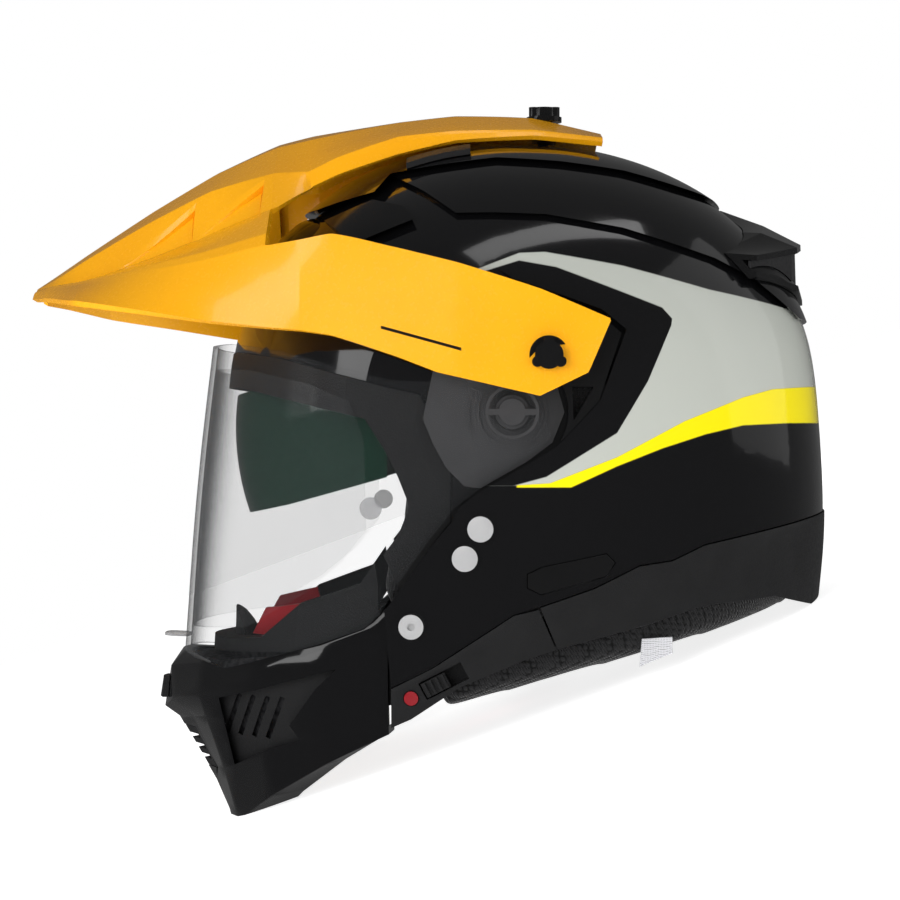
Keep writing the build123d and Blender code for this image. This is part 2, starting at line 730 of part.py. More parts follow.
# Chin guard fittings
insert_step = 4.0
insert_wall = 2.2
insert_out = guard_form(insert_step, guard_back)
insert_in = guard_form(insert_step + insert_wall, guard_back + overrun)
intake_bar = 2.4
intake_pitch = 7.0
intake_bars = 4
bar_start_share = -0.435
bar_first_share = -0.430
with BuildPart() as intake_insert_left:
    add(insert_out)
    add(insert_in, mode=Mode.SUBTRACT)
    add(side_prism(intake_shares, 2 * intake_bar, one_side=True), mode=Mode.INTERSECT)
    with BuildSketch(left(0)):
        for index in range(intake_bars):
            bar_x = bar_first_share * shell_length + (index + 0.5) * intake_pitch
            with Locations((bar_x, bar_start_share * shell_length)):
                Rectangle(
                    intake_bar,
                    3 * intake_pitch,
                    rotation=-table_tilt,
                    align=(Align.CENTER, Align.MAX),
                )
    extrude(amount=reach, mode=Mode.SUBTRACT)
intake_insert_left.part.label = "intake_insert_left"
export_step(intake_insert_left.part, "parts/intake_insert_left.step")

with BuildPart() as intake_insert_right:
    add(other_side(intake_insert_left.part))
intake_insert_right.part.label = "intake_insert_right"
export_step(intake_insert_right.part, "parts/intake_insert_right.step")

mouth_bar = 2.2
mouth_bars = 4
mouth_height = (mouth_high_share - mouth_low_share) * shell_length
mouth_middle = (mouth_high_share + mouth_low_share) / 2 * shell_length
with BuildPart() as mouth_grille:
    add(guard_form(fit_gap, guard_back))
    add(guard_form(guard_wall, guard_back + overrun), mode=Mode.SUBTRACT)
    with BuildSketch(across(-reach)):
        with Locations((0, mouth_middle)):
            Rectangle(2 * mouth_half_share * shell_width - 2 * fit_gap, mouth_height - 2 * fit_gap)
            with GridLocations(0, mouth_height / mouth_bars, 1, mouth_bars - 1):
                SlotOverall(
                    2 * mouth_half_share * shell_width - 3 * mouth_bar,
                    mouth_bar,
                    mode=Mode.SUBTRACT,
                )
    extrude(amount=reach / 2, mode=Mode.INTERSECT)
mouth_grille.part.label = "mouth_grille"
export_step(mouth_grille.part, "parts/mouth_grille.step")

thumb_high_share, thumb_low_share, thumb_half_share = -0.423, -0.457, 0.031
thumb_height = 2.6
thumb_out = guard_form(-fit_gap - thumb_height, guard_back)
thumb_in = guard_form(-fit_gap, guard_back + overrun)
with BuildPart() as mouth_slider:
    add(thumb_out)
    add(thumb_in, mode=Mode.SUBTRACT)
    with BuildSketch(across(-reach)):
        with Locations((0, (thumb_high_share + thumb_low_share) / 2 * shell_length)):
            Rectangle(
                2 * thumb_half_share * shell_width,
                (thumb_high_share - thumb_low_share) * shell_length,
            )
    extrude(amount=reach / 2, mode=Mode.INTERSECT)
mouth_slider.part.label = "mouth_slider"
export_step(mouth_slider.part, "parts/mouth_slider.step")

chin_liner_shares = [
    (-0.567, -0.383), (-0.300, -0.363), (-0.213, -0.323), (-0.213, -0.440), (-0.300, -0.520),
    (-0.390, -0.580), (-0.567, -0.580),
]
with BuildPart() as chin_liner:
    add(guard_form(insert_step + insert_wall + fit_gap, guard_back))
    add(side_prism(chin_liner_shares), mode=Mode.INTERSECT)
    with BuildSketch(across(-reach)):
        with Locations((0, mouth_middle)):
            Rectangle(mouth_half_share * shell_width, mouth_height / 2)
    extrude(amount=reach, mode=Mode.SUBTRACT)
chin_liner.part.label = "chin_liner"
export_step(chin_liner.part, "parts/chin_liner.step")

lower_seal_shares = [
    (-0.205, -0.225), (-0.227, -0.257), (-0.320, -0.290), (-0.383, -0.345), (-0.440, -0.353),
    (-0.600, -0.353), (-0.600, -0.3845), (-0.300, -0.362), (-0.213, -0.322), (-0.200, -0.300),
    (-0.200, -0.260),
]
with BuildPart() as lower_seal:
    add(seal_out)
    add(seal_in, mode=Mode.SUBTRACT)
    add(side_prism(lower_seal_shares), mode=Mode.INTERSECT)
    add(lower_limit, mode=Mode.INTERSECT)
    add(chin_guard.part, mode=Mode.SUBTRACT)
lower_seal.part.label = "lower_seal"
export_step(lower_seal.part, "parts/lower_seal.step")

deflector_wall = 1.8
deflector_shares = [
    (-0.600, -0.285), (-0.460, -0.283), (-0.430, -0.320), (-0.415, -0.345), (-0.415, -0.366),
    (-0.600, -0.368),
]
deflector_half_share = 0.125
with BuildPart() as breath_deflector:
    add(head_form(-seal_depth - fit_gap))
    add(head_form(-seal_depth - fit_gap - deflector_wall), mode=Mode.SUBTRACT)
    add(side_prism(deflector_shares), mode=Mode.INTERSECT)
    with BuildSketch(worn):
        Rectangle(2 * reach, 2 * deflector_half_share * shell_width)
    extrude(amount=reach, both=True, mode=Mode.INTERSECT)
breath_deflector.part.label = "breath_deflector"
export_step(breath_deflector.part, "parts/breath_deflector.step")

lever_wall = 4.0
lever_shares = [(-0.403, -0.345), (-0.380, -0.303), (-0.320, -0.292), (-0.313, -0.325), (-0.345, -0.345)]
with BuildPart() as release_lever_left:
    add(head_form(-seal_depth - fit_gap))
    add(head_form(-seal_depth - fit_gap - lever_wall), mode=Mode.SUBTRACT)
    add(side_prism(lever_shares, one_side=True), mode=Mode.INTERSECT)
release_lever_left.part.label = "release_lever_left"
export_step(release_lever_left.part, "parts/release_lever_left.step")

with BuildPart() as release_lever_right:
    add(other_side(release_lever_left.part))
release_lever_right.part.label = "release_lever_right"
export_step(release_lever_right.part, "parts/release_lever_right.step")

# Rear extractor: a hood at the crown's back edge with a mesh behind its opening. Each section holds the
# place across the width, then the outline's places along x and z.
extractor_shares = [
    (-0.300, [
        (0.270, 0.215), (0.285, 0.240), (0.320, 0.247), (0.380, 0.243), (0.378, 0.210), (0.300, 0.190),
    ]),
    (-0.160, [
        (0.290, 0.230), (0.320, 0.290), (0.400, 0.287), (0.457, 0.264), (0.459, 0.195), (0.330, 0.180),
    ]),
    (0.000, [
        (0.300, 0.250), (0.350, 0.335), (0.420, 0.310), (0.481, 0.279), (0.484, 0.180), (0.350, 0.160),
    ]),
]
hood_wall = 2.6
mesh_wall = 1.4


def extractor_form(depth, back):
    """The hood's outline moved in by one distance, its rear end drawn out by another."""
    stations = extractor_shares + [(-y, outline) for y, outline in reversed(extractor_shares[:-1])]
    with BuildPart() as form:
        for y, outline in stations:
            points = [Vector(x * shell_length, z * shell_length) for x, z in outline]
            if depth:
                moved = inset([(p.X, p.Y) for p in points + points[:2]], depth)[1:-1]
                points = [Vector(*place) for place in moved[-1:] + moved[:-1]]
            front_low, front_high, top, rear_high, rear_low, low = points
            rear_high += (rear_high - top).normalized() * back
            rear_low += (rear_low - low).normalized() * back
            with BuildSketch(left(-y * shell_width)):
                with BuildLine():
                    Polyline(front_low, front_high, top, rear_high, rear_low, low, close=True)
                make_face()
        loft(ruled=True)
    return form.part


hood_solid = extractor_form(0, 0)
hood_seat = head_form(fairing_step + fit_gap)
hood_back = head_form(fairing_step + fit_gap + hood_wall)
hood_space = extractor_form(hood_wall, 3 * hood_wall) - hood_back
with BuildPart() as rear_extractor:
    add(hood_solid)
    add(hood_seat, mode=Mode.SUBTRACT)
    add(crown_fairing.part, mode=Mode.SUBTRACT)
    add(hood_space, mode=Mode.SUBTRACT)
rear_extractor.part.label = "rear_extractor"
export_step(rear_extractor.part, "parts/rear_extractor.step")

with BuildPart() as extractor_mesh:
    add(extractor_form(hood_wall + fit_gap, 0))
    add(extractor_form(hood_wall, -mesh_wall), mode=Mode.SUBTRACT)
    add(head_form(fairing_step + hood_wall + 2 * fit_gap), mode=Mode.SUBTRACT)
extractor_mesh.part.label = "extractor_mesh"
export_step(extractor_mesh.part, "parts/extractor_mesh.step")

# Temple frames beside the peak's side fixings, each with a mesh vent
frame_shares = [
    (0.163, 0.117), (0.149, 0.130), (0.110, 0.110), (0.040, 0.052), (0.072, -0.045), (0.128, 0.015),
]
vent_shares = [(0.088, 0.037), (0.120, 0.037), (0.090, -0.013)]
vent_depth = 2.4
frame_clear = ear_radius + 2 * run_gap
with BuildPart() as temple_frame_left:
    add(form_out)
    with BuildSketch(left(tray_level + fit_gap)):
        with BuildLine():
            Polyline(*side(frame_shares), close=True)
        make_face()
        offset(amount=-fit_gap, kind=Kind.INTERSECTION)
        Circle(frame_clear, mode=Mode.SUBTRACT)
        with Locations((knob_place_share[0] * shell_length, knob_place_share[1] * shell_length)):
            Circle(peak_boss_radius + fit_gap, mode=Mode.SUBTRACT)
        with BuildLine():
            Polyline(*side(vent_shares), close=True)
        make_face(mode=Mode.SUBTRACT)
    extrude(amount=reach, mode=Mode.INTERSECT)
temple_frame_left.part.label = "temple_frame_left"
export_step(temple_frame_left.part, "parts/temple_frame_left.step")

mesh_hole = 1.3
mesh_pitch = 2.6
with BuildPart() as temple_meshes:
    with BuildSketch(left(tray_level + fit_gap)):
        with BuildLine():
            Polyline(*side(vent_shares), close=True)
        make_face()
        offset(amount=-fit_gap, kind=Kind.INTERSECTION)
        with Locations(side([vent_shares[0]])[0]):
            with GridLocations(mesh_pitch, mesh_pitch, 7, 13):
                Rectangle(mesh_hole, mesh_hole, mode=Mode.SUBTRACT)
    extrude(amount=vent_depth)
    mirror(about=Plane.XZ)
temple_meshes.part.label = "temple_meshes"
export_step(temple_meshes.part, "parts/temple_meshes.step")

with BuildPart() as temple_frame_right:
    add(other_side(temple_frame_left.part))
temple_frame_right.part.label = "temple_frame_right"
export_step(temple_frame_right.part, "parts/temple_frame_right.step")

# Energy-absorbing liner, cut back where the sun visor swings up between it and the shell
liner_shares = [
    (-0.160, -0.343), (-0.150, -0.270), (-0.103, -0.205), (-0.087, -0.163), (-0.087, -0.090), (-0.104, -0.027),
    (-0.134, 0.030), (-0.180, 0.041), (-0.267, 0.064), (-0.343, 0.087), (-0.430, 0.104), (-0.567, 0.114),
    (-0.567, 0.500), (0.700, 0.500), (0.700, -0.082), (0.500, -0.122), (0.300, -0.176), (0.200, -0.211),
    (0.067, -0.261), (-0.100, -0.341),
]
swing_shares = [(0.005, -0.045), (-0.600, -0.250), (-0.600, 0.500), (0.150, 0.500)]
strap_wide = 22.0
strap_thick = 2.0
strap_x_share = -0.060
strap_y_share = 0.3405
strap_top_share = -0.180
strap_clear = strap_y_share * shell_width + strap_thick / 2 + run_gap
liner_out = head_form(-shell_wall - fit_gap)
liner_in = head_form(-shell_wall - fit_gap - eps_wall)
bowl_inner = sun_bowl(sun_wall + 2 * run_gap)
with BuildPart() as impact_liner:
    add(liner_out)
    add(liner_in, mode=Mode.SUBTRACT)
    add(side_prism(liner_shares), mode=Mode.INTERSECT)
    add(tray_space(shell_wall + fit_gap, shell_wall + fit_gap), mode=Mode.SUBTRACT)
    add(side_prism(swing_shares) - bowl_inner, mode=Mode.SUBTRACT)
    with BuildSketch(across(strap_x_share * shell_length - strap_wide / 2 - run_gap)):
        with Locations((0, strap_top_share * shell_length)):
            Rectangle(2 * strap_clear, reach, align=(Align.CENTER, Align.MAX))
    extrude(amount=strap_wide + 2 * run_gap, mode=Mode.SUBTRACT)
impact_liner.part.label = "impact_liner"
export_step(impact_liner.part, "parts/impact_liner.step")

sun_shares = [
    (-0.600, 0.035), (-0.440, 0.030), (-0.300, 0.055), (-0.180, 0.045), (-0.120, 0.010), (-0.023, -0.004),
    (-0.023, -0.036), (-0.100, -0.032), (-0.187, -0.063), (-0.187, -0.097), (-0.340, -0.140),
    (-0.417, -0.157), (-0.600, -0.160),
]
sun_hub_radius = 5.5
sun_pin_radius = 2.4
pin_head = 1.5
sun_level = sun_profile_shares[-1][1] * shell_width
tray_inside = tray_level - shell_wall
with BuildPart() as sun_visor:
    add(sun_bowl(0))
    add(sun_bowl(sun_wall), mode=Mode.SUBTRACT)
    with BuildSketch(profile):
        with BuildLine():
            Polyline(*side(sun_shares), close=True)
        make_face()
        with Locations(side([sun_pivot_share])[0]):
            Circle(sun_hub_radius)
            Circle(sun_pin_radius + fit_gap, mode=Mode.SUBTRACT)
    extrude(amount=reach, both=True, mode=Mode.INTERSECT)
sun_visor.part.label = "sun_visor"
export_step(sun_visor.part, "parts/sun_visor.step")

# Pivots of the sun visor: each stands on the shell's inside, passes through the visor's hub and ends in a
# head
with BuildPart() as sun_pivots:
    for start, length, radius in (
        (sun_level + fit_gap, tray_inside - sun_level - fit_gap, sun_hub_radius),
        (sun_level - sun_wall - fit_gap, sun_wall + 2 * fit_gap, sun_pin_radius),
        (sun_level - sun_wall - fit_gap - pin_head, pin_head, sun_pin_radius + pin_head),
    ):
        with BuildSketch(left(start)):
            with Locations(side([sun_pivot_share])[0]):
                Circle(radius)
        extrude(amount=length)
    mirror(about=Plane.XZ)
sun_pivots.part.label = "sun_pivots"
export_step(sun_pivots.part, "parts/sun_pivots.step")

# Comfort padding
pad_out = head_form(-shell_wall - 2 * fit_gap - eps_wall)
pad_in = head_form(-shell_wall - 2 * fit_gap - eps_wall - pad_wall)
crown_pad_shares = [
    (-0.330, 0.170), (-0.200, 0.110), (0.000, 0.080), (0.200, 0.080), (0.500, 0.060), (0.500, 0.500),
    (-0.500, 0.500), (-0.500, 0.170),
]
pad_channel = 7.0
channel_places_share = [-0.160, 0.000, 0.160]
channel_side_share, channel_length_share, channel_cross_share = 0.140, 0.500, 0.160
with BuildPart() as crown_pad:
    add(pad_out)
    add(pad_in, mode=Mode.SUBTRACT)
    add(side_prism(crown_pad_shares), mode=Mode.INTERSECT)
    with BuildSketch(worn):
        with GridLocations(0, 2 * channel_side_share * shell_width, 1, 2):
            SlotOverall(channel_length_share * shell_length, pad_channel)
        with Locations(*[(x * shell_length, 0) for x in channel_places_share]):
            SlotOverall(channel_cross_share * shell_width, pad_channel, rotation=90)
    extrude(amount=reach, mode=Mode.SUBTRACT)
crown_pad.part.label = "crown_pad"
export_step(crown_pad.part, "parts/crown_pad.step")

cheek_shares = [
    (-0.150, -0.060), (-0.165, -0.170), (-0.200, -0.270), (-0.165, -0.325), (-0.040, -0.290), (0.060, -0.250),
    (0.140, -0.205), (0.150, -0.090), (0.060, -0.050),
]
cheek_wall = 40.0
cheek_round = 7.0
cheek_place_share = 0.245
with BuildPart() as cheek_pad_left:
    with BuildSketch(left(cheek_place_share * shell_width)):
        with BuildLine():
            Polyline(*side(cheek_shares), close=True)
        make_face()
        fillet(vertices(), radius=2 * cheek_round)
    extrude(amount=cheek_wall)
    fillet(faces().sort_by(Axis.Y)[-1].edges(), radius=cheek_round)
    add(pad_out, mode=Mode.INTERSECT)
    with BuildSketch(left(strap_y_share * shell_width - strap_thick / 2 - run_gap)):
        with Locations((strap_x_share * shell_length, 0)):
            Rectangle(strap_wide + 2 * run_gap, reach)
    extrude(amount=reach, mode=Mode.SUBTRACT)
cheek_pad_left.part.label = "cheek_pad_left"
export_step(cheek_pad_left.part, "parts/cheek_pad_left.step")

with BuildPart() as cheek_pad_right:
    add(other_side(cheek_pad_left.part))
cheek_pad_right.part.label = "cheek_pad_right"
export_step(cheek_pad_right.part, "parts/cheek_pad_right.step")

# Neck roll: one padded tube round the opening, in a plane that follows the trims' lower edge
roll_start_share = (-0.113, -0.400)
roll_rise = 15.4
roll_half_share = 0.358
roll_straight_share = 0.263
roll_thick, roll_tall = 12.0, 15.0
roll_origin = worn.from_local_coords(
    Vector(roll_start_share[0] * shell_length, 0, roll_start_share[1] * shell_length)
)
roll_plane = Plane(origin=roll_origin, x_dir=worn.x_dir, z_dir=worn.z_dir).rotated((0, -roll_rise, 0))
roll_half = roll_half_share * shell_width
roll_straight = roll_straight_share * shell_length
with BuildPart() as neck_roll:
    with BuildLine(roll_plane) as roll_route:
        Line((0, -roll_half), (roll_straight, -roll_half))
        ThreePointArc((roll_straight, -roll_half), (roll_straight + roll_half, 0), (roll_straight, roll_half))
        Line((roll_straight, roll_half), (0, roll_half))
    with BuildSketch(Plane(origin=roll_route.line @ 0, x_dir=roll_plane.y_dir, z_dir=roll_plane.x_dir)):
        Ellipse(roll_thick, roll_tall)
    sweep()
    add(head_form(-trim_depth - fit_gap), mode=Mode.INTERSECT)
neck_roll.part.label = "neck_roll"
export_step(neck_roll.part, "parts/neck_roll.step")

tag_shares = [(0.197, -0.340), (0.243, -0.337), (0.243, -0.362), (0.193, -0.382)]
tag_thick = 0.8
tag_place_share = 0.3903
with BuildPart() as roll_tag:
    with BuildSketch(left(tag_place_share * shell_width)):
        with BuildLine():
            Polyline(*side(tag_shares), close=True)
        make_face()
    extrude(amount=tag_thick)
roll_tag.part.label = "roll_tag"
export_step(roll_tag.part, "parts/roll_tag.step")

# Knobs that hold the peak: a shaft, a disc and three finger lobes
def knob_form(plane, shaft):
    """A three-lobed knob standing on its plane, with its shaft behind it."""
    with BuildPart() as knob:
        with BuildSketch(plane):
            Circle(knob_radius - knob_lobe)
            with PolarLocations((knob_radius - knob_lobe) / 2, 3, start_angle=90):
                SlotOverall(knob_radius + knob_lobe - 2 * fit_gap, 2 * knob_lobe)
        extrude(amount=knob_height)
        with BuildSketch(plane):
            Circle(knob_radius)
        extrude(amount=knob_lobe)
        with BuildSketch(plane):
            Circle(shank_radius)
        extrude(amount=-shaft)
    return knob.part


arm_outside_share = 0.508
arm_outside = arm_outside_share * shell_width
knob_seat = (knob_place_share[0] * shell_length, knob_place_share[1] * shell_length)
side_knob_plane = Plane(
    origin=left(arm_outside + run_gap).from_local_coords(Vector(*knob_seat, 0)),
    x_dir=worn.x_dir,
    z_dir=(0, -1, 0),
)
with BuildPart() as peak_knob_left:
    add(knob_form(side_knob_plane, arm_outside - tray_level))
peak_knob_left.part.label = "peak_knob_left"
export_step(peak_knob_left.part, "parts/peak_knob_left.step")

with BuildPart() as peak_knob_right:
    add(other_side(peak_knob_left.part))
peak_knob_right.part.label = "peak_knob_right"
export_step(peak_knob_right.part, "parts/peak_knob_right.step")

top_seat_share = 0.479
top_knob_plane = Plane(
    origin=worn.from_local_coords(Vector(top_knob_x_share * shell_length, 0, top_seat_share * shell_length)),
    x_dir=worn.x_dir,
    z_dir=worn.z_dir,
)
with BuildPart() as peak_knob_top:
    add(knob_form(top_knob_plane, (top_seat_share - boss_top_share) * shell_length + peak_wall))
peak_knob_top.part.label = "peak_knob_top"
export_step(peak_knob_top.part, "parts/peak_knob_top.step")

# Intercom cover, rivets and screws on the shell's sides
cover_lip = 0.9
with BuildPart() as intercom_cover:
    add(head_form(cover_lip))
    add(form_in, mode=Mode.SUBTRACT)
    add(side_prism(cover_shares, one_side=True), mode=Mode.INTERSECT)
intercom_cover.part.label = "intercom_cover"
export_step(intercom_cover.part, "parts/intercom_cover.step")

rivet_out, rivet_seat = head_form(rivet_head), head_form(fit_gap)
rivet_band = rivet_out - rivet_seat
shank_band = head_form(fit_gap) - head_form(-shell_wall)
with BuildPart() as strap_rivets:
    for x_share, z_share in rivet_places_share:
        add(rivet_band & pin(x_share, z_share, rivet_radius, start=shell_width / 4))
        add(shank_band & pin(x_share, z_share, shank_radius, start=shell_width / 4))
    mirror(about=Plane.XZ)
strap_rivets.part.label = "strap_rivets"
export_step(strap_rivets.part, "parts/strap_rivets.step")

with BuildPart() as guard_screws:
    add(rivet_band & pin(*screw_place_share, screw_radius, start=shell_width / 4))
    add(pin(*screw_place_share, socket_radius, start=shell_width / 4) & rivet_band, mode=Mode.SUBTRACT)
    add(shank_band & pin(*screw_place_share, shank_radius, start=shell_width / 4))
    mirror(about=Plane.XZ)
guard_screws.part.label = "guard_screws"
export_step(guard_screws.part, "parts/guard_screws.step")

# Sun visor slider and the button that lets it spring back
rib_count = 4
rib_wall = 1.2
rib_step = 1.4
slider_base = head_form(trim_lip + run_gap)
slider_foot = head_form(trim_lip - trim_depth / 2)
with BuildPart() as sun_slider:
    with BuildSketch(profile):
        with Locations((slide_place.X, slide_place.Y)):
            Rectangle(slide_length, slide_height, rotation=slide_angle)
    extrude(amount=reach)
    add(slider_base, mode=Mode.INTERSECT)
    with BuildSketch(profile, mode=Mode.PRIVATE) as rib_sketch:
        with Locations(Location((slide_place.X, slide_place.Y, 0), (0, 0, slide_angle))):
            with GridLocations(slide_length / rib_count, 0, rib_count, 1):
                Rectangle(rib_wall, slide_height)
    ribs = extrude(rib_sketch.sketch, amount=reach, mode=Mode.PRIVATE)
    add(ribs & head_form(trim_lip + run_gap + rib_step))
    add(slider_foot, mode=Mode.SUBTRACT)
sun_slider.part.label = "sun_slider"
export_step(sun_slider.part, "parts/sun_slider.step")

with BuildPart() as sun_button:
    add(pin(*button_place_share, button_radius, start=shell_width / 4))
    add(slider_base, mode=Mode.INTERSECT)
    add(slider_foot, mode=Mode.SUBTRACT)
sun_button.part.label = "sun_button"
export_step(sun_button.part, "parts/sun_button.step")

with BuildPart() as crown_slider_right:
    add(other_side(crown_slider_left.part))
crown_slider_right.part.label = "crown_slider_right"
export_step(crown_slider_right.part, "parts/crown_slider_right.step")

# Chin strap: a webbing at each side, joined under the chin by a toothed tongue in a lever buckle
strap_route_shares = [(0.3405, -0.190), (0.3405, -0.300), (0.250, -0.375), (0.110, -0.375)]
strap_bend = 8.0
strap_plane = across(strap_x_share * shell_length - strap_wide / 2)


def strap_form(end_share):
    """One webbing, from the shell's side to a place under the chin."""
    route = [(y * shell_width, z * shell_length) for y, z in strap_route_shares[:-1]]
    route.append((end_share * shell_width, strap_route_shares[-1][1] * shell_length))
    with BuildPart() as strap:
        with BuildSketch(strap_plane):
            with BuildLine():
                FilletPolyline(*route, radius=strap_bend)
            trace(line_width=strap_thick)
        extrude(amount=strap_wide)
    return strap.part


buckle_wide, buckle_long, buckle_tall, buckle_wall = 26.0, 34.0, 9.0, 1.4
buckle_middle_share = -0.040
tongue_wide, tongue_thick = 16.0, 1.6
tooth_pitch, tooth_count = 2.4, 8
lever_thick = 1.6
pin_radius = 1.3
strap_level = strap_route_shares[-1][1] * shell_length
buckle_y = buckle_middle_share * shell_width
buckle_x = strap_x_share * shell_length
buckle_floor = strap_level - strap_thick / 2 - fit_gap - buckle_wall
buckle_plane = worn.offset(buckle_floor)
webbing_plane = worn.offset(strap_level)
with BuildPart() as strap_left:
    add(mirror(strap_form(-buckle_middle_share + (buckle_long / 2 + fit_gap) / shell_width), about=Plane.XZ))
strap_left.part.label = "strap_left"
export_step(strap_left.part, "parts/strap_left.step")

with BuildPart() as strap_right:
    add(strap_form(buckle_middle_share + (buckle_long / 2 + tooth_pitch) / shell_width))
strap_right.part.label = "strap_right"
export_step(strap_right.part, "parts/strap_right.step")

pin_y = buckle_y - buckle_long / 2 + 2 * pin_radius
with BuildPart() as buckle_frame:
    with BuildSketch(buckle_plane):
        with Locations((buckle_x, buckle_y)):
            Rectangle(buckle_wide, buckle_long)
    extrude(amount=buckle_tall)
    with BuildSketch(buckle_plane.offset(buckle_wall)):
        with Locations((buckle_x, buckle_y)):
            Rectangle(buckle_wide - 2 * buckle_wall, buckle_long + overrun)
    extrude(amount=buckle_tall, mode=Mode.SUBTRACT)
    with BuildSketch(across(buckle_x - buckle_wide / 2)):
        with Locations((pin_y, buckle_floor + buckle_tall - 2 * pin_radius)):
            Circle(pin_radius)
    extrude(amount=buckle_wide)
    mirror(about=webbing_plane, mode=Mode.REPLACE)
buckle_frame.part.label = "buckle_frame"
export_step(buckle_frame.part, "parts/buckle_frame.step")

with BuildPart() as buckle_lever:
    with BuildSketch(across(buckle_x - buckle_wide / 2 + buckle_wall + fit_gap)):
        with Locations((pin_y, buckle_floor + buckle_tall - 2 * pin_radius)):
            Circle(2 * pin_radius)
            with Locations((buckle_long / 2, pin_radius + lever_thick / 2)):
                Rectangle(buckle_long, lever_thick)
            Circle(pin_radius + fit_gap / 2, mode=Mode.SUBTRACT)
    extrude(amount=buckle_wide - 2 * buckle_wall - 2 * fit_gap)
    mirror(about=webbing_plane, mode=Mode.REPLACE)
buckle_lever.part.label = "buckle_lever"
export_step(buckle_lever.part, "parts/buckle_lever.step")

tongue_end = buckle_y + buckle_long / 2 + tooth_pitch
with BuildPart() as strap_tongue:
    with BuildSketch(across(buckle_x - tongue_wide / 2)):
        tongue_foot = buckle_floor + buckle_wall + fit_gap
        with BuildLine():
            top = [(buckle_y, tongue_foot + tongue_thick)]
            for tooth in range(tooth_count):
                top.append((buckle_y + (tooth + 0.5) * tooth_pitch, tongue_foot + tongue_thick / 2))
                top.append((buckle_y + (tooth + 1) * tooth_pitch, tongue_foot + tongue_thick))
            Polyline((tongue_end, tongue_foot), (buckle_y, tongue_foot), *top, close=True)
        make_face()
    extrude(amount=tongue_wide)
    mirror(about=webbing_plane, mode=Mode.REPLACE)
strap_tongue.part.label = "strap_tongue"
export_step(strap_tongue.part, "parts/strap_tongue.step")
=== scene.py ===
# %% [markdown]
# # A dual sport helmet, dressed in Blender
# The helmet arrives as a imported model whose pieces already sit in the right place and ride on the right
# bodies. This lesson gives it its looks: a painted casing, a clear visor, a moulded peak, soft lining,
# webbing and steel. Everything is in metres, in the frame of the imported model, in which the helmet stands
# on a table on its chin guard and its nape trim, tipped back from the way it is worn.

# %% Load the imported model
import json
import math

import bmesh
import bpy
import numpy as np
from mathutils import Matrix


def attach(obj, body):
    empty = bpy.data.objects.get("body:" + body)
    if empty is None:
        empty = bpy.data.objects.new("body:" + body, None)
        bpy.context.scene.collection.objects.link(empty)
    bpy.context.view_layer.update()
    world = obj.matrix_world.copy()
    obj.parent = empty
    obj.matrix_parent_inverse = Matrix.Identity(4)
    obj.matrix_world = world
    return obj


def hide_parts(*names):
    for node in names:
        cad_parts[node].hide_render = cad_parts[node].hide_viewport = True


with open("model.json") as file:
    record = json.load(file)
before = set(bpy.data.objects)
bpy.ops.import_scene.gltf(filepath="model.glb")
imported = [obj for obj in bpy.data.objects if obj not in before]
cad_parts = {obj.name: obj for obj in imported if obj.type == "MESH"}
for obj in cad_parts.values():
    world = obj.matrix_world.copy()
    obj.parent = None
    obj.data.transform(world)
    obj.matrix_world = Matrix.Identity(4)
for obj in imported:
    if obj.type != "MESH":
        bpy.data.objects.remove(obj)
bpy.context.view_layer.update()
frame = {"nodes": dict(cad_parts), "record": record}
nodes = frame["nodes"]

# %% [markdown]
# A helmet is easier to describe the way it is worn: x runs back from the visor's pivot, y to the wearer's
# right and z up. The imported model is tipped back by 20.5 degrees, and the record says where the pivot is,
# so one small function carries a place from the worn position, in millimetres, into the scene, in metres.

# %% From the worn position to the scene
TILT = math.radians(20.5)
hinge = [j for j in frame["record"]["behaviour"]["joints"] if j["name"] == "visor_swing"][0]
PIVOT = np.array(hinge["pos_m"], float)
BACK = np.array([math.cos(TILT), 0, -math.sin(TILT)])
RIGHT = np.array([0, 1.0, 0])
UP = np.array([math.sin(TILT), 0, math.cos(TILT)])


def place(x, y, z):
    """Scene places, in metres, of worn places in millimetres: the pivot plus each length along its axis."""
    x, y, z = np.broadcast_arrays(*(np.asarray(v, float) for v in (x, y, z)))
    return PIVOT + (x[..., None] * BACK + y[..., None] * RIGHT + z[..., None] * UP) / 1000


print("visor pivot at", PIVOT.round(4))

# %% [markdown]
# The photograph is matched by a camera level with the helmet's side, a metre and a quarter away, with a
# long lens. It stands on the wearer's left and its upright is the worn upright, so the picture shows the
# helmet level although the model is tipped.

# %% Camera
CAMERA_SPOT = (-27.5, -1250.0, -16.8)
SENSOR, LENS = 36.0, 102.0
camera_data = bpy.data.cameras.new("camera")
camera = bpy.data.objects.new("camera", camera_data)
bpy.context.collection.objects.link(camera)
bpy.context.scene.camera = camera
camera_data.sensor_width, camera_data.lens = SENSOR, LENS
camera_data.clip_start, camera_data.clip_end = 0.05, 20.0
look = Matrix([BACK, UP, -RIGHT]).transposed()
camera.matrix_world = Matrix.Translation(place(*CAMERA_SPOT)) @ look.to_4x4()
print("camera at", [round(v, 3) for v in camera.location])

# %% [markdown]
# The studio is a white floor and a white surround. The surround is plain white to the camera and through
# clear plastic, and dim otherwise, so gloss black stays black. Seven soft boxes light the helmet. The key
# and the fill on the camera's side, one overhead and one on the far side don't show in the gloss. A narrow
# one over the crown, one at the front and one at the back do, and draw the highlights.

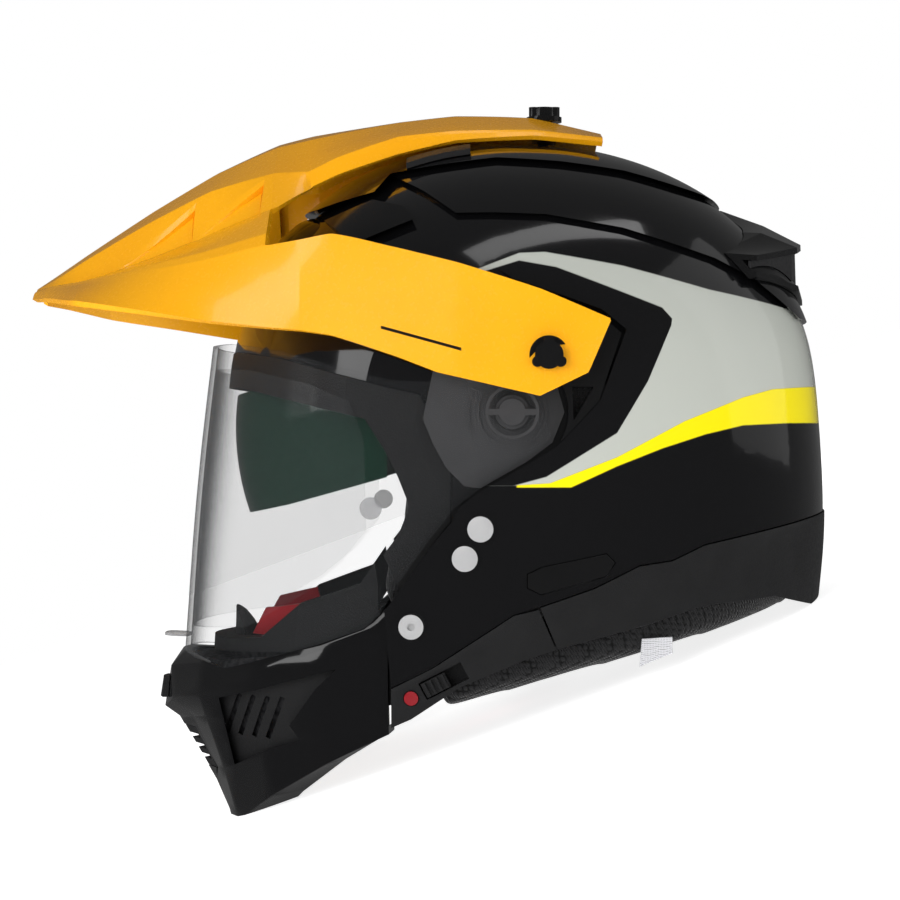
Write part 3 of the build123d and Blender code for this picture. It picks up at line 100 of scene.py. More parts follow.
# %% Studio
DIM_SURROUND = 0.10
scene = bpy.context.scene
scene.view_settings.view_transform = "Standard"
world = bpy.data.worlds.new("studio")
scene.world = world
world.use_nodes = True
sky = world.node_tree
sky.nodes.clear()
rays = sky.nodes.new("ShaderNodeLightPath")
seen = sky.nodes.new("ShaderNodeMath")
seen.operation = "MAXIMUM"
sky.links.new(rays.outputs["Is Camera Ray"], seen.inputs[0])
sky.links.new(rays.outputs["Is Transmission Ray"], seen.inputs[1])
strength = sky.nodes.new("ShaderNodeMapRange")
strength.inputs["To Min"].default_value = DIM_SURROUND
strength.inputs["To Max"].default_value = 1.0
sky.links.new(seen.outputs[0], strength.inputs["Value"])
shine = sky.nodes.new("ShaderNodeBackground")
shine.inputs["Color"].default_value = (1, 1, 1, 1)
sky.links.new(strength.outputs[0], shine.inputs["Strength"])
ground = sky.nodes.new("ShaderNodeOutputWorld")
sky.links.new(shine.outputs[0], ground.inputs["Surface"])


def soft_box(name, spot, aim, width, height, power, mirrored):
    """An area light at a worn place, turned to face another worn place; only some show in the gloss."""
    data = bpy.data.lights.new(name, "AREA")
    data.shape = "RECTANGLE"
    data.size, data.size_y, data.energy = width, height, power
    light = bpy.data.objects.new(name, data)
    bpy.context.collection.objects.link(light)
    start, end = place(*spot), place(*aim)
    away = (start - end) / np.linalg.norm(start - end)
    across = np.cross(UP, away)
    across /= np.linalg.norm(across)
    turn = Matrix([across, np.cross(away, across), away]).transposed()
    light.matrix_world = Matrix.Translation(start) @ turn.to_4x4()
    light.visible_glossy = mirrored


SOFT_BOXES = [
    # name, spot in mm, aim in mm, width in m, height in m, power in W, whether the gloss shows it
    ("key_box", (-700, -1050, 250), (-40, 0, 0), 0.9, 0.9, 8.5, False),
    ("fill_box", (600, -1000, 250), (0, 0, 0), 0.9, 0.9, 2.0, False),
    ("top_box", (0, -200, 1100), (0, 0, 60), 1.0, 1.0, 1.0, False),
    ("crown_box", (160, -240, 1000), (0, 0, 60), 0.9, 0.16, 0.8, True),
    ("front_box", (-900, -500, 420), (-60, 0, 0), 0.3, 0.7, 1.6, True),
    ("rear_box", (900, -60, 420), (60, 0, 0), 0.7, 1.0, 0.7, True),
    ("far_box", (-100, 1200, 500), (0, 0, 0), 1.0, 0.7, 2.0, False),
]
for box in SOFT_BOXES:
    soft_box(*box)
print("soft boxes", len(SOFT_BOXES))

# %% [markdown]
# Materials are written as small programs. A Finish is a material in the making, with one method that lays a
# node, its settings and what goes into its sockets. A Field is a value that varies over the surface, and
# ordinary arithmetic on it lays the maths nodes.

# %% A short language for finishes


class Field:
    """A shader value; arithmetic with numbers or other values lays the maths nodes that work it out."""

    def __init__(self, finish, socket):
        self.finish, self.socket = finish, socket

    def maths(self, operation, first, second=0.0):
        return self.finish.lay("ShaderNodeMath", {"operation": operation}, {0: first, 1: second})

    def __add__(self, other):
        return self.maths("ADD", self, other)

    def __sub__(self, other):
        return self.maths("SUBTRACT", self, other)

    def __rsub__(self, other):
        return self.maths("SUBTRACT", other, self)

    def __mul__(self, other):
        return self.maths("MULTIPLY", self, other)

    def __pow__(self, other):
        return self.maths("POWER", self, other)

    def __abs__(self):
        return self.maths("ABSOLUTE", self)

    def sine(self):
        return self.maths("SINE", self)

    def larger(self, other):
        return self.maths("MAXIMUM", self, other)

    def rise(self, low, high, start=0.0, end=1.0):
        """A smooth step from start to end as the value climbs from low to high."""
        limits = {"Value": self, "From Min": low, "From Max": high, "To Min": start, "To Max": end}
        return self.finish.lay("ShaderNodeMapRange", {"interpolation_type": "SMOOTHSTEP"}, limits)

    def scale(self, low, high, start=0.0, end=1.0):
        """A straight, clamped change from start to end as the value goes from low to high."""
        limits = {"Value": self, "From Min": low, "From Max": high, "To Min": start, "To Max": end}
        return self.finish.lay("ShaderNodeMapRange", {}, limits)

    __radd__, __rmul__ = __add__, __mul__


class Finish:
    """A material in the making."""

    def __init__(self, name):
        self.material = bpy.data.materials.new(name)
        self.material.use_nodes = True
        self.tree = self.material.node_tree
        self.tree.nodes.clear()

    def lay(self, kind, settings=None, sockets=None, out=0):
        """Lays a node with its settings, fills its sockets with values or fields, and returns an output."""
        node = self.tree.nodes.new(kind)
        for key, value in (settings or {}).items():
            setattr(node, key, value)
        for key, value in (sockets or {}).items():
            if isinstance(value, Field):
                self.tree.links.new(value.socket, node.inputs[key])
            else:
                node.inputs[key].default_value = value
        return Field(self, node.outputs[out]) if node.outputs else None

    def spot(self):
        """The place on the object, in metres."""
        return self.lay("ShaderNodeTexCoord", out="Object")

    def along(self, axis):
        """The place's distance from the visor pivot along one worn axis, in millimetres."""
        places = {0: self.spot(), 1: tuple(PIVOT)}
        apart = self.lay("ShaderNodeVectorMath", {"operation": "SUBTRACT"}, places)
        ends = {0: apart, 1: tuple(axis)}
        return self.lay("ShaderNodeVectorMath", {"operation": "DOT_PRODUCT"}, ends, out="Value") * 1000.0

    def grain(self, per_metre, detail=2.0, rough=0.5):
        """Fine cloudy noise with so many waves to the metre."""
        sizes = {"Vector": self.spot(), "Scale": per_metre, "Detail": detail, "Roughness": rough}
        return self.lay("ShaderNodeTexNoise", {}, sizes)

    def cells(self, per_metre):
        """The distance to the nearest of many scattered points, so many to the metre."""
        sizes = {"Vector": self.spot(), "Scale": per_metre}
        return self.lay("ShaderNodeTexVoronoi", {}, sizes, out="Distance")

    def edge(self, across, points):
        """A smooth height line through (x, z) points, in millimetres, read at a place along x."""
        xs, zs = zip(*points)
        low, high, base, top = min(xs), max(xs), min(zs) - 1, max(zs) + 1
        share = across.scale(low, high)
        line = self.lay("ShaderNodeFloatCurve", {}, {"Value": share})
        curve = line.socket.node.mapping.curves[0]
        spots = [((x - low) / (high - low), (z - base) / (top - base)) for x, z in sorted(points)]
        for index, where in enumerate(spots):
            if index < 2:
                curve.points[index].location = where
            else:
                curve.points.new(*where)
        for point in curve.points:
            point.handle_type = "VECTOR"
        line.socket.node.mapping.update()
        return line * (top - base) + base

    def blend(self, share, first, second):
        """One colour turning into another by a share."""
        sides = {"Factor": share, 6: first, 7: second}
        return self.lay("ShaderNodeMix", {"data_type": "RGBA"}, sides, out=2)

    def dented(self, height, depth, distance=0.001):
        """A normal bent by a height, at a strength and a real distance in metres."""
        return self.lay("ShaderNodeBump", {}, {"Height": height, "Strength": depth, "Distance": distance})

    def done(self, **sockets):
        """Ends the material in a Principled surface with these inputs, and returns it."""
        filled = {key.replace("_", " "): value for key, value in sockets.items()}
        surface = self.lay("ShaderNodeBsdfPrincipled", {}, filled)
        self.lay("ShaderNodeOutputMaterial", {}, {"Surface": surface})
        return self.material


print("fields and finishes ready")

# %% [markdown]
# The casing is sprayed gloss black, with a pale grey flank panel and a lemon stripe under it, sealed in
# clear lacquer. The panel frames a black window behind the hinge, and both colours wrap round the nape. The
# edges were read from the photograph as heights along the worn x, so the paint is drawn by comparing a
# place's height with those lines: crisp, the same on both sides, and independent of the mesh.

# %% Painted casing
LACQUER_BLACK = (0.0035, 0.0035, 0.004, 1)
PANEL_GREY = (0.50, 0.52, 0.475, 1)
STRIPE_LEMON = (1.0, 0.83, 0.0, 1)
panel_top = [(-18, 63), (3.5, 71.5), (15, 72), (50, 66), (90, 56), (144, 47)]
window_top = [(-14, 62.5), (3.4, 68), (20, 65), (49, 54), (67.5, 47), (72, 42)]
window_low = [(0.3, -32.7), (15, -28.7), (46.4, -9.3), (60.4, 13.8), (71.5, 39), (72, 42)]
stripe_top = [(0.3, -32.5), (16.6, -31.5), (46.4, -20), (77, -4), (105, 7), (120, 11), (148, 13.4)]
stripe_low = [
    (0.3, -33.3), (26, -33.3), (46.4, -24), (67, -16), (87, -9.7), (105, -5.6), (128, -4.4), (147, -4),
]


def casing_paint(name, painted=True):
    """Lacquered black with a fine ripple in the lacquer, and the flank's grey and lemon where painted."""
    coat = Finish(name)
    colour = LACQUER_BLACK
    if painted:
        back, up = coat.along(BACK), coat.along(UP)
        soft = 0.35
        under = (coat.edge(back, panel_top) - up).rise(-soft, soft)
        over = (up - coat.edge(back, stripe_top)).rise(-soft, soft)
        in_window = (coat.edge(back, window_top) - up).rise(-soft, soft)
        in_window = in_window * (up - coat.edge(back, window_low)).rise(-soft, soft)
        in_window = in_window * (72.0 - back).rise(-soft, soft)
        behind = back.rise(-17.0, -16.0)
        grey = under * over * (1.0 - in_window) * behind
        lemon = (coat.edge(back, stripe_top) - up).rise(-soft, soft)
        lemon = lemon * (up - coat.edge(back, stripe_low)).rise(-soft, soft) * back.rise(1.5, 2.5)
        colour = coat.blend(grey, LACQUER_BLACK, PANEL_GREY)
        colour = coat.blend(lemon, colour, STRIPE_LEMON)
    ripple = coat.grain(55.0, 1.0)
    scuffs = coat.grain(420.0, 6.0, 0.7).rise(0.55, 0.8, 0.10, 0.17)
    return coat.done(
        Base_Color=colour, Roughness=scuffs, Specular_IOR_Level=0.42,
        Coat_Weight=0.6, Coat_Roughness=0.03, Normal=coat.dented(ripple, 0.03, 0.002),
    )


shell_paint = casing_paint("casing_paint")
black_lacquer = casing_paint("black_lacquer", painted=False)
print("casing materials", shell_paint.name, black_lacquer.name)

# %% [markdown]
# The peak is moulded in one colour and lacquered: a warm yellow with faint, redder flow marks. Each arm's
# slot is not cut: a slim band of painted shade, dented in, stands for its dark inside. Trims, knobs and
# frames are black plastics: a grained matte one where hands and straps rub, and a polished one for the small
# fittings.

# %% Peak and black plastics
PEAK_YELLOW = (0.98, 0.44, 0.006, 1)
PEAK_SHADE = (0.80, 0.21, 0.004, 1)
# painted shade: the dark inside of the arms' slots, which the sheet does not cut
SLOT_PAINTED_SHADE = (0.004, 0.004, 0.004, 1)


def peak_plastic():
    """Yellow plastic with faint, redder flow marks, and painted shade in the arms' uncut slots."""
    resin = Finish("peak_plastic")
    back, up = resin.along(BACK), resin.along(UP)
    flow = resin.grain(18.0, 3.0, 0.6)
    colour = resin.blend(flow.rise(0.3, 0.8, 0.0, 0.12), PEAK_YELLOW, PEAK_SHADE)
    run = back.scale(-58.0, -22.5, 37.5, 27.5)
    # where each arm's slot would be: painted shade in the colour, less gloss and a dent
    slot = (1.0 - abs(up - run).rise(0.55, 0.85)) * back.rise(-58.4, -57.8)
    slot = slot * (1.0 - back.rise(-22.8, -22.2))
    colour = resin.blend(slot, colour, SLOT_PAINTED_SHADE)
    dust = resin.grain(600.0, 4.0).rise(0.4, 0.8, 0.24, 0.31)
    return resin.done(
        Base_Color=colour, Roughness=dust + slot * 0.4, Specular_IOR_Level=0.4,
        Coat_Weight=0.4 - slot * 0.4, Coat_Roughness=0.05,
        Normal=resin.dented(resin.grain(40.0, 1.0) - slot * 0.6, 0.06, 0.002),
    )


def moulded_black(name, shade, low, high, tooth, depth):
    """A black plastic: its shade, roughness from low to high, and a moulded tooth of given fineness."""
    plastic = Finish(name)
    cloud = plastic.grain(90.0, 3.0)
    deep, pale = shade * 0.85, shade * 1.2
    colour = plastic.blend(cloud, (deep, deep, deep * 1.05, 1), (pale, pale, pale * 1.04, 1))
    rough = plastic.grain(700.0, 3.0).rise(0.3, 0.75, low, high)
    return plastic.done(Base_Color=colour, Roughness=rough, Specular_IOR_Level=0.4,
                        Normal=plastic.dented(plastic.cells(tooth), depth, 0.0003))


yellow_peak = peak_plastic()
matte_trim = moulded_black("matte_trim", 0.014, 0.38, 0.5, 1500.0, 0.25)
gloss_trim = moulded_black("gloss_trim", 0.006, 0.12, 0.2, 2500.0, 0.03)
plate_plastic = moulded_black("plate_plastic", 0.045, 0.28, 0.38, 1800.0, 0.12)
seal_rubber = moulded_black("seal_rubber", 0.010, 0.5, 0.62, 1100.0, 0.2)
tongue_plastic = moulded_black("tongue_plastic", 0.018, 0.35, 0.45, 1600.0, 0.15)
print("plastics ready")

# %% [markdown]
# The energy liner is black bead foam: round beads a few millimetres across, pressed flat where they meet,
# with a thin dark line between them. The beads come from the distance to scattered points.

# %% Bead foam and lever red


def bead_foam():
    """Black moulded bead foam with flattened beads and dark joints."""
    foam = Finish("bead_foam")
    bead = foam.cells(330.0)
    shade = foam.blend(bead.rise(0.35, 0.8), (0.022, 0.022, 0.024, 1), (0.006, 0.006, 0.007, 1))
    return foam.done(Base_Color=shade, Roughness=bead.rise(0.0, 0.8, 0.6, 0.85), Specular_IOR_Level=0.25,
                     Normal=foam.dented(1.0 - bead, 0.5, 0.0008))


def lever_plastic():
    """Dark red moulded plastic with a satin tooth."""
    plastic = Finish("lever_plastic")
    cloud = plastic.grain(120.0, 3.0)
    shade = plastic.blend(cloud, (0.22, 0.006, 0.012, 1), (0.34, 0.010, 0.016, 1))
    return plastic.done(Base_Color=shade, Roughness=cloud.rise(0.3, 0.7, 0.28, 0.4),
                        Normal=plastic.dented(plastic.cells(1700.0), 0.1, 0.0003))


black_foam = bead_foam()
red_plastic = lever_plastic()
print("foam and levers ready")

# %% [markdown]
# The visor is hard-coated clear plastic. It hardly shows face on and closes up to grey where the eye looks
# along it, which is what draws its outline. The anti-fog sheet inside is a little greyer. The sun visor is
# the same plastic, dyed a dark bottle green.

# %% Clear and tinted plastics


def clear_plastic(name, tint, face_on, edge_on, rough=0.03):
    """See-through plastic whose cover grows from face_on to edge_on as the view grazes it."""
    sheet = Finish(name)
    graze = sheet.lay("ShaderNodeLayerWeight", {}, {"Blend": 0.5}, out="Facing")
    cover = graze.scale(0.35, 0.98) ** 3.0
    haze = sheet.grain(14.0, 2.0)
    cover = cover * (edge_on - face_on) + face_on + haze * 0.012
    wipe = sheet.grain(900.0, 5.0, 0.7).rise(0.45, 0.85, rough, rough + 0.03)
    return sheet.done(Base_Color=tint, Roughness=wipe, IOR=1.5, Specular_IOR_Level=0.5, Alpha=cover)


clear_visor = clear_plastic("clear_visor", (0.10, 0.105, 0.11, 1), 0.035, 0.80)
pin_plastic = clear_plastic("pin_plastic", (0.30, 0.30, 0.31, 1), 0.45, 0.80, 0.12)
clear_insert = clear_plastic("clear_insert", (0.12, 0.125, 0.13, 1), 0.05, 0.75, 0.06)
green_visor = clear_plastic("green_visor", (0.006, 0.030, 0.018, 1), 0.90, 0.98)
print("clear parts ready")

# %% [markdown]
# The lining is knitted cloth over foam. A knit is rows of small loops. Because a pad bends every way, two
# pairs of slanting waves, one fine and one twice as coarse, run through space and the larger wins, so each
# face shows a knit of its own. Webbing has a herringbone across its width.

# %% Cloth


def knit_cloth(name, shade, pitch, loft=0.7):
    """A knit of loops a pitch apart, in millimetres, with dark gaps between and a soft sheen."""
    cloth = Finish(name)
    back, right, up = cloth.along(BACK), cloth.along(RIGHT), cloth.along(UP)
    turn = 2 * math.pi / pitch
    wale = ((back + up * 0.6) * turn).sine() * ((right + up * 0.35) * turn).sine()
    course = ((up + right * 0.2) * turn * 0.5).sine() * ((back - right * 0.5) * turn * 0.5).sine()
    loop = abs(wale).larger(abs(course) * 0.8)
    fuzz = cloth.grain(2500.0, 3.0)
    dark, pale = shade * 0.35, shade * 1.35
    colour = cloth.blend(loop.rise(0.05, 0.6), (dark, dark, dark * 1.05, 1), (pale, pale, pale * 1.04, 1))
    return cloth.done(Base_Color=colour, Roughness=fuzz.rise(0.3, 0.7, 0.75, 0.95), Sheen_Weight=0.25,
                      Sheen_Roughness=0.4, Specular_IOR_Level=0.15,
                      Normal=cloth.dented(loop + fuzz * 0.3, loft, 0.0006))


def strap_webbing():
    """Woven polyester tape: slanting ribs that change side at the middle of its width."""
    tape = Finish("strap_webbing")
    across, run = tape.along(BACK) + 18.0, tape.along(RIGHT) + tape.along(UP)
    rib = ((run + abs(across) * 0.9) * 4.2).sine()
    edge = abs(across).rise(9.2, 10.2)
    shade = tape.blend(rib.scale(-1.0, 1.0), (0.010, 0.010, 0.011, 1), (0.030, 0.030, 0.032, 1))
    return tape.done(Base_Color=shade, Roughness=rib.scale(-1.0, 1.0, 0.6, 0.75) + edge * 0.1,
                     Specular_IOR_Level=0.25, Normal=tape.dented(rib * 0.5 - edge * 0.4, 0.6, 0.0005))


lining_cloth = knit_cloth("lining_cloth", 0.022, 1.9)
roll_mesh = knit_cloth("roll_mesh", 0.016, 2.6, 0.9)
tag_cloth = knit_cloth("tag_cloth", 0.62, 0.7, 0.3)
webbing = strap_webbing()
print("cloth ready")

# %% [markdown]
# Rivets, screws, the sun visor's pivots and the buckle's frame are steel. Turned and pressed steel shows
# faint streaks, so the roughness runs in fine lines across each piece. The vents' meshes are matte black.

# %% Steel and mesh


def streaked_steel(name, shade, low, high, bare):
    """Steel with roughness in fine level lines; the less bare, the nearer to a bright matt plating."""
    steel = Finish(name)
    streak = (steel.along(UP) * 9.0 + steel.grain(200.0, 2.0) * 6.0).sine()
    wear = steel.grain(60.0, 3.0)
    colour = steel.blend(wear, (shade, shade, shade, 1), (shade * 0.86, shade * 0.86, shade * 0.88, 1))
    return steel.done(Base_Color=colour, Metallic=bare, Roughness=streak.scale(-1.0, 1.0, low, high),
                      Normal=steel.dented(wear, 0.05, 0.0005))


rivet_steel = streaked_steel("rivet_steel", 0.74, 0.30, 0.42, 0.45)
buckle_steel = streaked_steel("buckle_steel", 0.55, 0.25, 0.36, 0.9)
vent_mesh = moulded_black("vent_mesh", 0.016, 0.4, 0.55, 2200.0, 0.3)

finishes = {
    "outer_shell": shell_paint, "crown_fairing": black_lacquer, "chin_guard": black_lacquer,
    "crown_slider_left": matte_trim, "crown_slider_right": matte_trim, "peak": yellow_peak,
    "visor": clear_visor, "brow_intakes": gloss_trim, "hinge_plate_left": plate_plastic,
    "hinge_plate_right": plate_plastic, "pivot_caps": plate_plastic, "antifog_sheet": clear_insert,
    "antifog_pins": pin_plastic, "port_seal": seal_rubber, "jaw_trim_left": matte_trim,
    "jaw_trim_right": matte_trim, "nape_trim": matte_trim, "intake_insert_left": matte_trim,
    "intake_insert_right": matte_trim, "mouth_grille": matte_trim, "mouth_slider": matte_trim,
    "chin_liner": black_foam, "lower_seal": seal_rubber, "breath_deflector": seal_rubber,
    "release_lever_left": red_plastic, "release_lever_right": red_plastic, "rear_extractor": gloss_trim,
    "extractor_mesh": vent_mesh, "temple_frame_left": gloss_trim, "temple_frame_right": gloss_trim,
    "temple_meshes": vent_mesh, "impact_liner": black_foam, "sun_visor": green_visor,
    "crown_pad": lining_cloth, "cheek_pad_left": lining_cloth, "cheek_pad_right": lining_cloth,
    "neck_roll": roll_mesh, "roll_tag": tag_cloth, "peak_knob_left": gloss_trim,
    "peak_knob_right": gloss_trim, "peak_knob_top": gloss_trim, "intercom_cover": gloss_trim,
    "strap_rivets": rivet_steel, "sun_pivots": rivet_steel, "guard_screws": rivet_steel,
    "sun_slider": matte_trim, "sun_button": red_plastic, "strap_left": webbing, "strap_right": webbing,
    "buckle_frame": buckle_steel, "buckle_lever": red_plastic, "strap_tongue": tongue_plastic,
}
for name, finish in finishes.items():
    held = nodes[name].data.materials
    held.clear()
    held.append(finish)
print("finishes on", len(finishes), "nodes")

# %% [markdown]
# Moulded and pressed parts never have knife edges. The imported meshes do, so the parts that show most get a
# small radius along every edge sharper than 35 degrees, which is what catches the light. Points that lie
# together are joined first, so the edge is one edge.

# %% Rounded edges
SHARP = math.radians(35)
ROUNDED = {  # radii in millimetres
    "strap_rivets": 0.7, "guard_screws": 0.6, "peak_knob_left": 0.5, "peak_knob_right": 0.5,
    "peak_knob_top": 0.5, "chin_guard": 0.7, "jaw_trim_left": 0.4, "jaw_trim_right": 0.4, "nape_trim": 0.5,
    "intercom_cover": 0.4, "sun_slider": 0.2, "sun_button": 0.4, "pivot_caps": 0.3,
}
for name, radius in ROUNDED.items():
    joined = nodes[name].modifiers.new("joined", "WELD")
    joined.merge_threshold = 1e-6
    round_edge = nodes[name].modifiers.new("round_edge", "BEVEL")
    round_edge.width, round_edge.segments, round_edge.limit_method = radius / 1000, 2, "ANGLE"
    round_edge.angle_limit = SHARP
    round_edge.harden_normals = True
print("rounded edges on", len(ROUNDED), "nodes")

# %% [markdown]
# The new pieces are surfaces worked out on grids: two parameters give every point at once, and neighbouring
# points make the faces. One function turns such a grid into an object, and another gives it thickness,
# rounded edges and a place on a body.

# %% From grids to objects


def skin(name, grid, keep=None, round_u=False, round_v=False, caps=False):
    """An object whose faces join neighbouring points of a grid of places, leaving out cells not kept."""
    rows, columns = grid.shape[:2]
    number = np.arange(rows * columns).reshape(rows, columns)
    if round_u:
        number = np.vstack([number, number[:1]])
    if round_v:
        number = np.hstack([number, number[:, :1]])
    quads = np.stack([number[:-1, :-1], number[1:, :-1], number[1:, 1:], number[:-1, 1:]], axis=-1)
    quads = quads[keep] if keep is not None else quads.reshape(-1, 4)
    faces = quads.tolist()
    if caps:
        faces += [number[0, :-1][::-1].tolist(), number[-1, :-1].tolist()]
    mesh = bpy.data.meshes.new(name)
    mesh.from_pydata(grid.reshape(-1, 3).tolist(), [], faces)
    mesh.validate()
    piece = bpy.data.objects.new(name, mesh)
    bpy.context.collection.objects.link(piece)
    print(name, len(mesh.vertices), "points,", len(faces), "faces")
    return piece


def trimmed(piece):
    """Joins the points of a mesh that lie together, and drops those that no face uses."""
    shape = bmesh.new()
    shape.from_mesh(piece.data)
    bmesh.ops.remove_doubles(shape, verts=shape.verts, dist=1e-6)
    bmesh.ops.delete(shape, geom=[v for v in shape.verts if not v.link_faces], context="VERTS")
    shape.to_mesh(piece.data)
    shape.free()
    return piece


def finished(piece, finish, body, replaced=(), wall=0.0, edge=0.0, smooth=0, crisp=None):
    """Gives a piece its wall, rounded edges, subdivision, finish and body, and what it stands for."""
    piece.data.materials.append(finish)
    piece.data.shade_smooth()
    if crisp:
        piece.data.set_sharp_from_angle(angle=math.radians(crisp))
    if wall:
        thick = piece.modifiers.new("wall", "SOLIDIFY")
        thick.thickness, thick.offset = wall, -1.0
    if edge:
        bevel = piece.modifiers.new("edge", "BEVEL")
        bevel.width, bevel.segments, bevel.limit_method = edge, 2, "ANGLE"
        bevel.angle_limit = math.radians(18)
        even = piece.modifiers.new("even", "WEIGHTED_NORMAL")
        even.keep_sharp = True
    if smooth:
        fine = piece.modifiers.new("fine", "SUBSURF")
        fine.levels = fine.render_levels = smooth
    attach(piece, body)
    if replaced:
        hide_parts(*replaced)


def bend(at, stations, values):
    """A smooth curve through the stations: in each span its two ends weighed by cubic Hermite shares."""
    slopes = np.gradient(values, stations, axis=0)
    span = np.clip(np.searchsorted(stations, at) - 1, 0, len(stations) - 2)
    width = stations[span + 1] - stations[span]
    t = ((at - stations[span]) / width)[:, None]
    width = width[:, None]
    start, end = values[span], values[span + 1]
    rise, fall = slopes[span] * width, slopes[span + 1] * width
    return (start * (2 * t**3 - 3 * t**2 + 1) + rise * (t**3 - 2 * t**2 + t)
            + end * (3 * t**2 - 2 * t**3) + fall * (t**3 - t**2))


print("grid tools ready")

# %% [markdown]
# The peak is one moulded sheet. Seen across, it has a raised middle, a wall down to a valley, an outer
# panel up to a crease, and a side that drops to the hem. Behind the brow the outer panel is left open, so
# air passes over the crown, and the sides run back as two arms to the side knobs. The real mould is cut
# with flats between sharp creases, so each crease runs mostly straight from station to station and the
# panels between are flat, apart from two wedges sunk in the wall, a fold in the outer panel and a slight
# swell of the sides.

# %% Peak
peak_table = np.array([
    # x, middle z, ridge y z, valley y z, crease y z, hem y z
    [-227.1, 60.0, 6.6, 59.1, 10.2, 57.9, 13.2, 57.0, 16.0, 54.6],
    [-219.9, 64.8, 9.1, 62.4, 14.2, 59.7, 23.9, 57.9, 32.0, 53.7],
    [-201.9, 77.1, 16.0, 72.9, 23.1, 62.1, 39.1, 59.4, 64.0, 50.1],
    [-170.1, 98.1, 26.9, 90.0, 39.1, 71.1, 56.9, 64.5, 78.0, 45.6],
    [-140.1, 116.1, 36.1, 104.1, 50.0, 81.9, 72.9, 69.0, 89.9, 41.1],
    [-110.1, 129.9, 41.9, 111.9, 62.0, 93.0, 89.9, 75.0, 104.9, 37.5],
    [-93.9, 134.1, 42.9, 113.1, 45.0, 105.9, 100.1, 77.1, 112.0, 36.0],
    [-80.1, 136.5, 41.4, 120.0, 43.2, 112.8, 105.9, 79.5, 115.6, 33.9],
    [-51.9, 141.0, 38.1, 129.9, 39.9, 122.7, 114.0, 72.9, 122.9, 24.6],
    [-24.9, 144.0, 36.1, 132.9, 37.8, 129.0, 120.9, 66.0, 127.5, 14.1],
    [12.0, 143.1, 33.5, 133.5, 35.3, 131.1, 126.5, 54.0, 131.1, 0.0],
    [45.0, 135.0, 31.0, 129.9, 32.8, 128.1, 129.0, 39.9, 131.1, -9.9],
])
ARM_FOOT = [(-227.0, -60.0), (-36.0, 18.0), (12.0, 6.9), (33.0, 17.1), (42.9, 39.9)]
WINDOW_FRONT, ARM_END = -110.1, 42.9
WINDOW_CORNER = (-141, -79)  # where the valley runs straight, past the window's front corner
POCKETS, POCKET_DEEP = [(-184.0, -147.0), (-144.0, -114.0)], 3.5  # from and to along x, and depth, in mm
POCKET_STEP, POCKET_REACH = 0.05, 0.93  # shares of the wall: its step, and where a wedge ends without it
FIRM = 0.7  # how straight the creases run: 0 is a smooth curve, 1 straight from station to station
KINK, KINK_LIFT = 0.8, 0.05  # shares of the outer panel's width: where it folds, and how far it rises
SIDE_SWELL = 0.014  # share of the side's height


def peak_sheet(rows=150, steps=(5, 5, 18, 10, 9)):
    """The peak's outer face: along x each crease is part straight line, part smooth curve through its
    stations, and across it runs from crease to crease. Two wedges, whose upper edge slants upwards, deepen
    evenly backwards in the wall, and the outer panel is folded near its edge."""
    stations = peak_table[:, 0]
    runs = np.unique(np.concatenate([np.linspace(stations[0], stations[-1], rows),
                                     [WINDOW_FRONT, *(x for x, z in ARM_FOOT[1:4]), ARM_END],
                                     *([start, end, end + 2.0] for start, end in POCKETS)]))
    smooth = bend(runs, stations, peak_table[:, 1:])
    plain = np.stack([np.interp(runs, stations, column) for column in peak_table[:, 1:].T], axis=1)
    smooth = FIRM * plain + (1 - FIRM) * smooth
    middle, ridge, valley = smooth[:, 0], smooth[:, 1:3], smooth[:, 3:5].copy()
    near_window = (runs > WINDOW_CORNER[0]) & (runs < WINDOW_CORNER[1])
    valley[near_window] = plain[near_window, 3:5]
    crease, hem = smooth[:, 5:7], smooth[:, 7:9].copy()
    foot = np.interp(runs, *zip(*ARM_FOOT))
    low = np.maximum(hem[:, 1], np.minimum(foot, crease[:, 1] - 0.8))
    share = ((low - crease[:, 1]) / (hem[:, 1] - crease[:, 1]))[:, None]
    hem = crease + (hem - crease) * share
    strip = np.stack([0.3 * ridge[:, 0], middle - 0.15 * (middle - ridge[:, 1])], axis=1)
    centre = np.stack([0 * middle, middle], axis=1)
    lines = [centre, strip, ridge, valley, crease, hem]
    half, panel = [], []
    sunk = sum(np.clip((runs - a) / (b - a), 0, 1) * (runs <= b) for a, b in POCKETS)
    for number, (first, last, count) in enumerate(zip(lines, lines[1:], steps)):
        part = np.linspace(0, 1, count, endpoint=False) + 0 * runs[:, None]
        normal = np.stack([last[:, 1] - first[:, 1], first[:, 0] - last[:, 0]], axis=1)
        lift = -SIDE_SWELL * np.sin(math.pi * part) * (number == 4)
        if number == 3:
            lift = -KINK_LIFT * np.minimum(part / KINK, (1 - part) / (1 - KINK))
        if number == 2:
            even, brink = np.linspace(0, 1, count // 2), (0.92 - 0.82 * sunk)[:, None]
            behind_step = brink + POCKET_STEP + (POCKET_REACH - brink) * even
            part = np.concatenate([even * brink, behind_step], axis=1)
            wide = np.maximum(np.linalg.norm(normal, axis=1), 1.0)
            lift = (POCKET_DEEP * sunk / wide)[:, None] * (np.arange(count) >= count // 2)
        half.append(first[:, None] + (last - first)[:, None] * part[:, :, None]
                    + lift[:, :, None] * normal[:, None, :])
        panel += [number] * count
    half = np.concatenate(half + [lines[-1][:, None]], axis=1)
    y = np.concatenate([-half[:, :0:-1, 0], half[..., 0]], axis=1)
    z = np.concatenate([half[:, :0:-1, 1], half[..., 1]], axis=1)
    panel = np.array(panel[::-1] + panel)
    x = runs[:, None]
    behind = (runs[:-1, None] >= WINDOW_FRONT - 0.01)
    past = (runs[:-1, None] >= ARM_END - 0.01)
    keep = ~((panel[None] == 3) & behind) & ~((panel[None] == 4) & past)
    return place(x, y, z), keep


